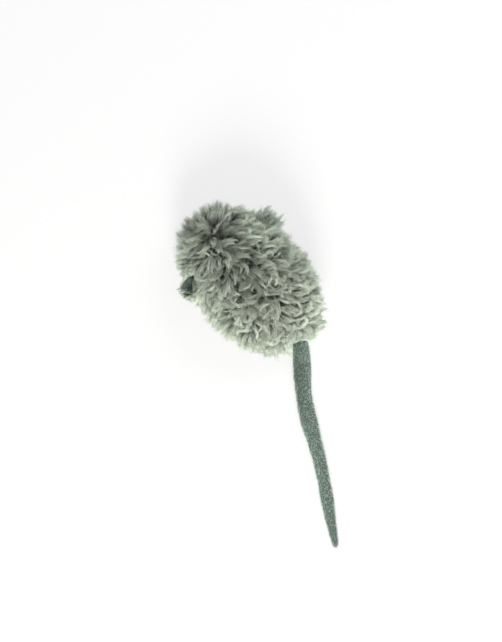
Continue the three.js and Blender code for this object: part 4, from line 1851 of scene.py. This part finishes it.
def leaf_heap(low, high, rng):
    """A heap of crumbled leaf with loose flakes in it."""
    sizes = bpy.context.scene.mouse_sachet

    def place(ring, across, up):
        along, size = ring
        x, y = high.x * size * across, high.y * along
        height = (high.z - low.z - LEAF_GAP) * heaped(x, y, high) if up > 0 else 0
        return Vector((x, y, low.z + height))

    form = lofted(sphere_rings(LEAF_RINGS), LEAF_SIDES, place)
    heap = mesh_of("leaf heap", form)
    napped(heap, *LEAF_NAP)
    form = bmesh.new()
    form.from_mesh(heap)
    bpy.data.meshes.remove(heap)
    for _ in range(sizes.flakes):
        x, y = rng.uniform(-FLAKE_REACH, FLAKE_REACH, 2) * (high.x, high.y)
        height = (high.z - low.z - FLAKE_GAP) * heaped(x, y, high) * rng.uniform(*FLAKE_HEIGHTS)
        turned = Matrix.Rotation(rng.uniform(0, FLAKE_TURN), 4, "Z")
        turned = turned @ Matrix.Rotation(rng.normal(0, FLAKE_TILT), 4, "X")
        shaped = Matrix.Diagonal((rng.uniform(*FLAKE_LENGTHS), rng.uniform(*FLAKE_WIDTHS), 1.0, 1.0))
        bmesh.ops.create_cone(
            form,
            cap_ends=True,
            segments=FLAKE_CORNERS,
            radius1=FLAKE_RADII[0],
            radius2=FLAKE_RADII[1],
            depth=FLAKE_THICKNESS,
            matrix=Matrix.Translation((x, y, low.z + height)) @ turned @ shaped,
        )
    return mesh_of("leaf_heap", form)


def filling_form():
    """Lumpy fibre filling, with a hollow where the sachet lies."""
    body = bpy.context.scene.mouse_body
    inset = body.pile + body.cloth + FILLING_GAP
    form = body_form(inset, body.belly_pile + body.cloth + FILLING_FLOOR_GAP)
    filling = new_object("fibre_filling", mesh_of("fibre_filling", form))
    low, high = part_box("sachet_top")
    bottom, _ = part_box("sachet_bottom")
    inner = sachet_half(HOLLOW_ROOM)

    def place(ring, across, up):
        along, size = ring
        x = (high.x + HOLLOW_GAP) * curved(size * across, HOLLOW_SQUARENESS)
        y = (high.y + HOLLOW_GAP) * curved(along, HOLLOW_SQUARENESS)
        height = high.z - low.z + HOLLOW_GAP
        top = low.z + HOLLOW_RISE + height * heaped(x, y, inner)
        return Vector((x, y, top if up > 0 else bottom.z - HOLLOW_GAP))

    shape = lofted(sphere_rings(HOLLOW_RINGS), HOLLOW_SIDES, place)
    hollow = new_object("hollow", mesh_of("hollow", shape))
    cut = filling.modifiers.new("Hollow", "BOOLEAN")
    cut.operation = "DIFFERENCE"
    cut.object = hollow
    settled(filling)
    bpy.data.meshes.remove(hollow.data)
    even = filling.modifiers.new("Even mesh", "REMESH")
    even.mode = "VOXEL"
    even.voxel_size = FILLING_VOXEL
    settled(filling)
    napped(filling.data, *FILLING_NAP)
    filling.data.shade_smooth()
    return filling


def hem_stitches():
    """Stitches that run round the sachet's hem."""
    sizes = bpy.context.scene.mouse_sachet
    _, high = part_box("sachet_top")
    x, y = high.x - sizes.hem / 2, high.y - sizes.hem / 2
    corners = [Vector(corner) for corner in ((-x, -y), (x, -y), (x, y), (-x, y), (-x, -y))]
    height = hem_height() + STITCH_LIFT
    paths = []
    for start, end in zip(corners, corners[1:]):
        count = round((end - start).length / sizes.stitch)
        for index in range(count):
            first, last = [(index + part) / count for part in STITCH_SPAN]
            parts = np.linspace(first, last, STITCH_POINTS)
            plan = np.array(start) + parts[:, None] * np.array(end - start)
            turns = np.linspace(-STITCH_DIP, math.pi + STITCH_DIP, STITCH_POINTS)
            paths.append(np.column_stack([plan, height + STITCH_ARCH * np.sin(turns)]))
    radii = np.full(STITCH_POINTS, STITCH_RADIUS)
    return fibre_mesh("sachet_stitches", np.array(paths), radii, np.full(len(paths), 0.5))


def hem_height():
    """Height of the upper side of the sachet's hem."""
    _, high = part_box("sachet_bottom")
    return high.z + HEM_GAP + bpy.context.scene.mouse_sachet.cloth


class MOUSE_OT_filling(Operator):
    """Makes what the body holds: fibre filling, a sachet of dried leaf and the sewn-in end of the tail"""

    bl_idname = "mouse.filling"
    bl_label = "Filling"
    bl_options = {"REGISTER", "UNDO"}

    def execute(self, context):
        rng = np.random.default_rng(LEAF_SEED)
        dressed(filling_form(), "filling", "filling", "mouse", ["stuffing"])
        _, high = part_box("sachet_top")
        dome = high.z - hem_height()
        upper = sachet_sheet("sachet_upper_cloth", high, hem_height(), dome, UPPER_SEED)
        dressed(upper, "sachet cloth", "sachet", "mouse", ["sachet_top"])
        _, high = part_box("sachet_bottom")
        lower = sachet_sheet("sachet_lower_cloth", high, high.z, 0, LOWER_SEED)
        dressed(lower, "sachet cloth", "sachet", "mouse", ["sachet_bottom"])
        dressed(new_object("sachet_stitches", hem_stitches()), "sewing thread", "thread", "mouse")
        leaf = new_object("leaf_heap", leaf_heap(*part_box("catnip"), rng))
        dressed(leaf, "dried leaf", "catnip", "mouse", ["catnip"])

        low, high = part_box("tail_tab")
        middle = (low + high) / 2

        def place(ring, across, up):
            along, size = ring
            parts = [curved(part, TAB_SQUARENESS) for part in (size * across, along, size * up)]
            return middle + Vector(parts) * (high - low) / 2

        form = lofted(sphere_rings(TAB_RINGS), TAB_SIDES, place)
        tab = napped(mesh_of("sewn_in_tail", form), *TAB_NAP)
        dressed(new_object(tab.name, tab), "plush cloth", "plush", "mouse", ["tail_tab"])
        for node in ("spine_seam_thread", "belly_seam_thread"):
            for slot in bpy.data.objects[node].material_slots:
                slot.material = finish("sewing thread")
        return {"FINISHED"}


# Stage

WHITE = (1.0, 1.0, 1.0, 1.0)

# The camera's sensor in millimetres, and the nearest and farthest that it sees
SENSOR_WIDTH = 36.0
CLIP_START = 0.01
CLIP_END = 10.0

# The paper: its colour, its drop under the mouse, and how bright it shows near the mouse, fading to white
PAPER_COLOUR = (0.86, 0.86, 0.86, 1.0)
PAPER_DROP = 0.02 * MM
PAPER_SHOWN = 0.68
PAPER_FADE = (0.16, 0.3)

# How bright the white room is as a light, and the lamps: place, size, watts and colour
ROOM_LIGHT = 0.43
LAMP_AIM = (0.0, 10 * MM, 5 * MM)
LAMPS = {
    "window": ((0.42, 0.55, 0.45), 0.35, 7.4, (1.0, 0.985, 0.955)),
    "reflector": ((-0.6, -0.1, 0.55), 0.6, 2.7, (0.97, 0.98, 1.0)),
}


def area_lamp(name, place, size, watts, colour):
    """A round lamp that shines on the mouse."""
    lamp = bpy.data.lights.new(name, "AREA")
    lamp.shape = "DISK"
    lamp.size = size
    lamp.energy = watts
    lamp.color = colour
    made = new_object(name, lamp)
    made.location = place
    made.rotation_euler = (Vector(LAMP_AIM) - Vector(place)).to_track_quat("-Z", "Y").to_euler()


def seen_directly(paint):
    """1 for what the camera, a reflection or glass sees, and 0 for light on a rough surface."""
    ways = ("Is Camera Ray", "Is Glossy Ray", "Is Transmission Ray")
    path = paint.node("LightPath")
    camera, gloss, glass = (Wire(paint, path.socket.node.outputs[way]) for way in ways)
    return camera, paint.node("Clamp", None, {"Value": camera + gloss + glass})


def floor_finish():
    """White paper that keeps the shadows near the mouse and shows white round them."""
    paint = Paint("white paper")
    camera, _ = seen_directly(paint)
    away = paint.node("VectorMath", {"operation": "LENGTH"}, {0: paint.place()}, "Value")
    plain = PAPER_SHOWN + away.above(*PAPER_FADE) * (1 - PAPER_SHOWN)
    paper = paint.node("BsdfDiffuse", None, {"Color": PAPER_COLOUR})
    white = paint.node("Emission", None, {"Color": WHITE, "Strength": 1.0})
    shown = paint.node("MixShader", None, {0: camera * plain, 1: paper, 2: white})
    paint.node("OutputMaterial", None, {"Surface": shown})
    return paint.material


class WorldPaint(Paint):
    """The world and its nodes."""

    def __init__(self, name):
        self.world = bpy.data.worlds.new(name)
        self.world.use_nodes = True
        self.tree = self.world.node_tree
        self.tree.nodes.clear()


class MOUSE_OT_stage(Operator):
    """Sets the camera, the floor and the light"""

    bl_idname = "mouse.stage"
    bl_label = "Stage"
    bl_options = {"REGISTER", "UNDO"}

    def execute(self, context):
        sizes = context.scene.mouse_stage
        camera = bpy.data.cameras.new("camera")
        camera.lens = sizes.lens
        camera.sensor_width = SENSOR_WIDTH
        camera.clip_start = CLIP_START
        camera.clip_end = CLIP_END
        viewer = new_object("camera", camera)
        distance = sizes.view_long_side * camera.lens / camera.sensor_width
        viewer.location = (sizes.view_across, sizes.view_along, sizes.view_height + distance)
        viewer.rotation_euler = (0, 0, sizes.view_turn)
        context.scene.camera = viewer

        floor = bmesh.new()
        bmesh.ops.create_grid(floor, x_segments=1, y_segments=1, size=sizes.floor)
        bmesh.ops.translate(floor, verts=floor.verts, vec=(0, 0, -PAPER_DROP))
        paper = new_object("floor", mesh_of("floor", floor))
        paper.data.materials.append(floor_finish())

        world = WorldPaint("white room")
        _, seen = seen_directly(world)
        shine = ROOM_LIGHT + seen * (1 - ROOM_LIGHT)
        sky = world.node("Background", None, {"Color": WHITE, "Strength": shine})
        world.node("OutputWorld", None, {"Surface": sky})
        context.scene.world = world.world

        for name, lamp in LAMPS.items():
            area_lamp(name, *lamp)

        context.scene.view_settings.view_transform = "Standard"
        return {"FINISHED"}


# The add-on


class MOUSE_PT_panel(Panel):
    """Lists the steps that make the mouse"""

    bl_idname = "MOUSE_PT_panel"
    bl_label = "Stuffed mouse"
    bl_space_type = "VIEW_3D"
    bl_region_type = "UI"
    bl_category = "Stuffed mouse"

    def draw(self, context):
        column = self.layout.column(align=True)
        for step in STEPS:
            column.operator(step.bl_idname)
        for group in SIZE_GROUPS:
            box = self.layout.box()
            sizes = getattr(context.scene, group)
            for name in SIZE_GROUPS[group].__annotations__:
                box.prop(sizes, name)


SIZE_GROUPS = {
    "mouse_body": MouseBodySizes,
    "mouse_wool": MouseWoolSizes,
    "mouse_ear": MouseEarSizes,
    "mouse_tail": MouseTailSizes,
    "mouse_sachet": MouseSachetSizes,
    "mouse_colours": MouseColours,
    "mouse_stage": MouseStageSizes,
}
STEPS = (
    MOUSE_OT_stage,
    MOUSE_OT_skins,
    MOUSE_OT_filling,
    MOUSE_OT_wool,
    MOUSE_OT_ears,
    MOUSE_OT_tail,
)


def register():
    for kind in (*SIZE_GROUPS.values(), *STEPS, MOUSE_PT_panel):
        bpy.utils.register_class(kind)
    for name, kind in SIZE_GROUPS.items():
        setattr(bpy.types.Scene, name, PointerProperty(type=kind))


def unregister():
    for name in SIZE_GROUPS:
        delattr(bpy.types.Scene, name)
    for kind in reversed((*SIZE_GROUPS.values(), *STEPS, MOUSE_PT_panel)):
        bpy.utils.unregister_class(kind)


def main():
    register()
    bpy.ops.mouse.stage()
    bpy.ops.mouse.skins()
    bpy.ops.mouse.filling()
    bpy.ops.mouse.wool()
    bpy.ops.mouse.ears()
    bpy.ops.mouse.tail()
    clear_section()


if __name__ == "__main__":
    main()
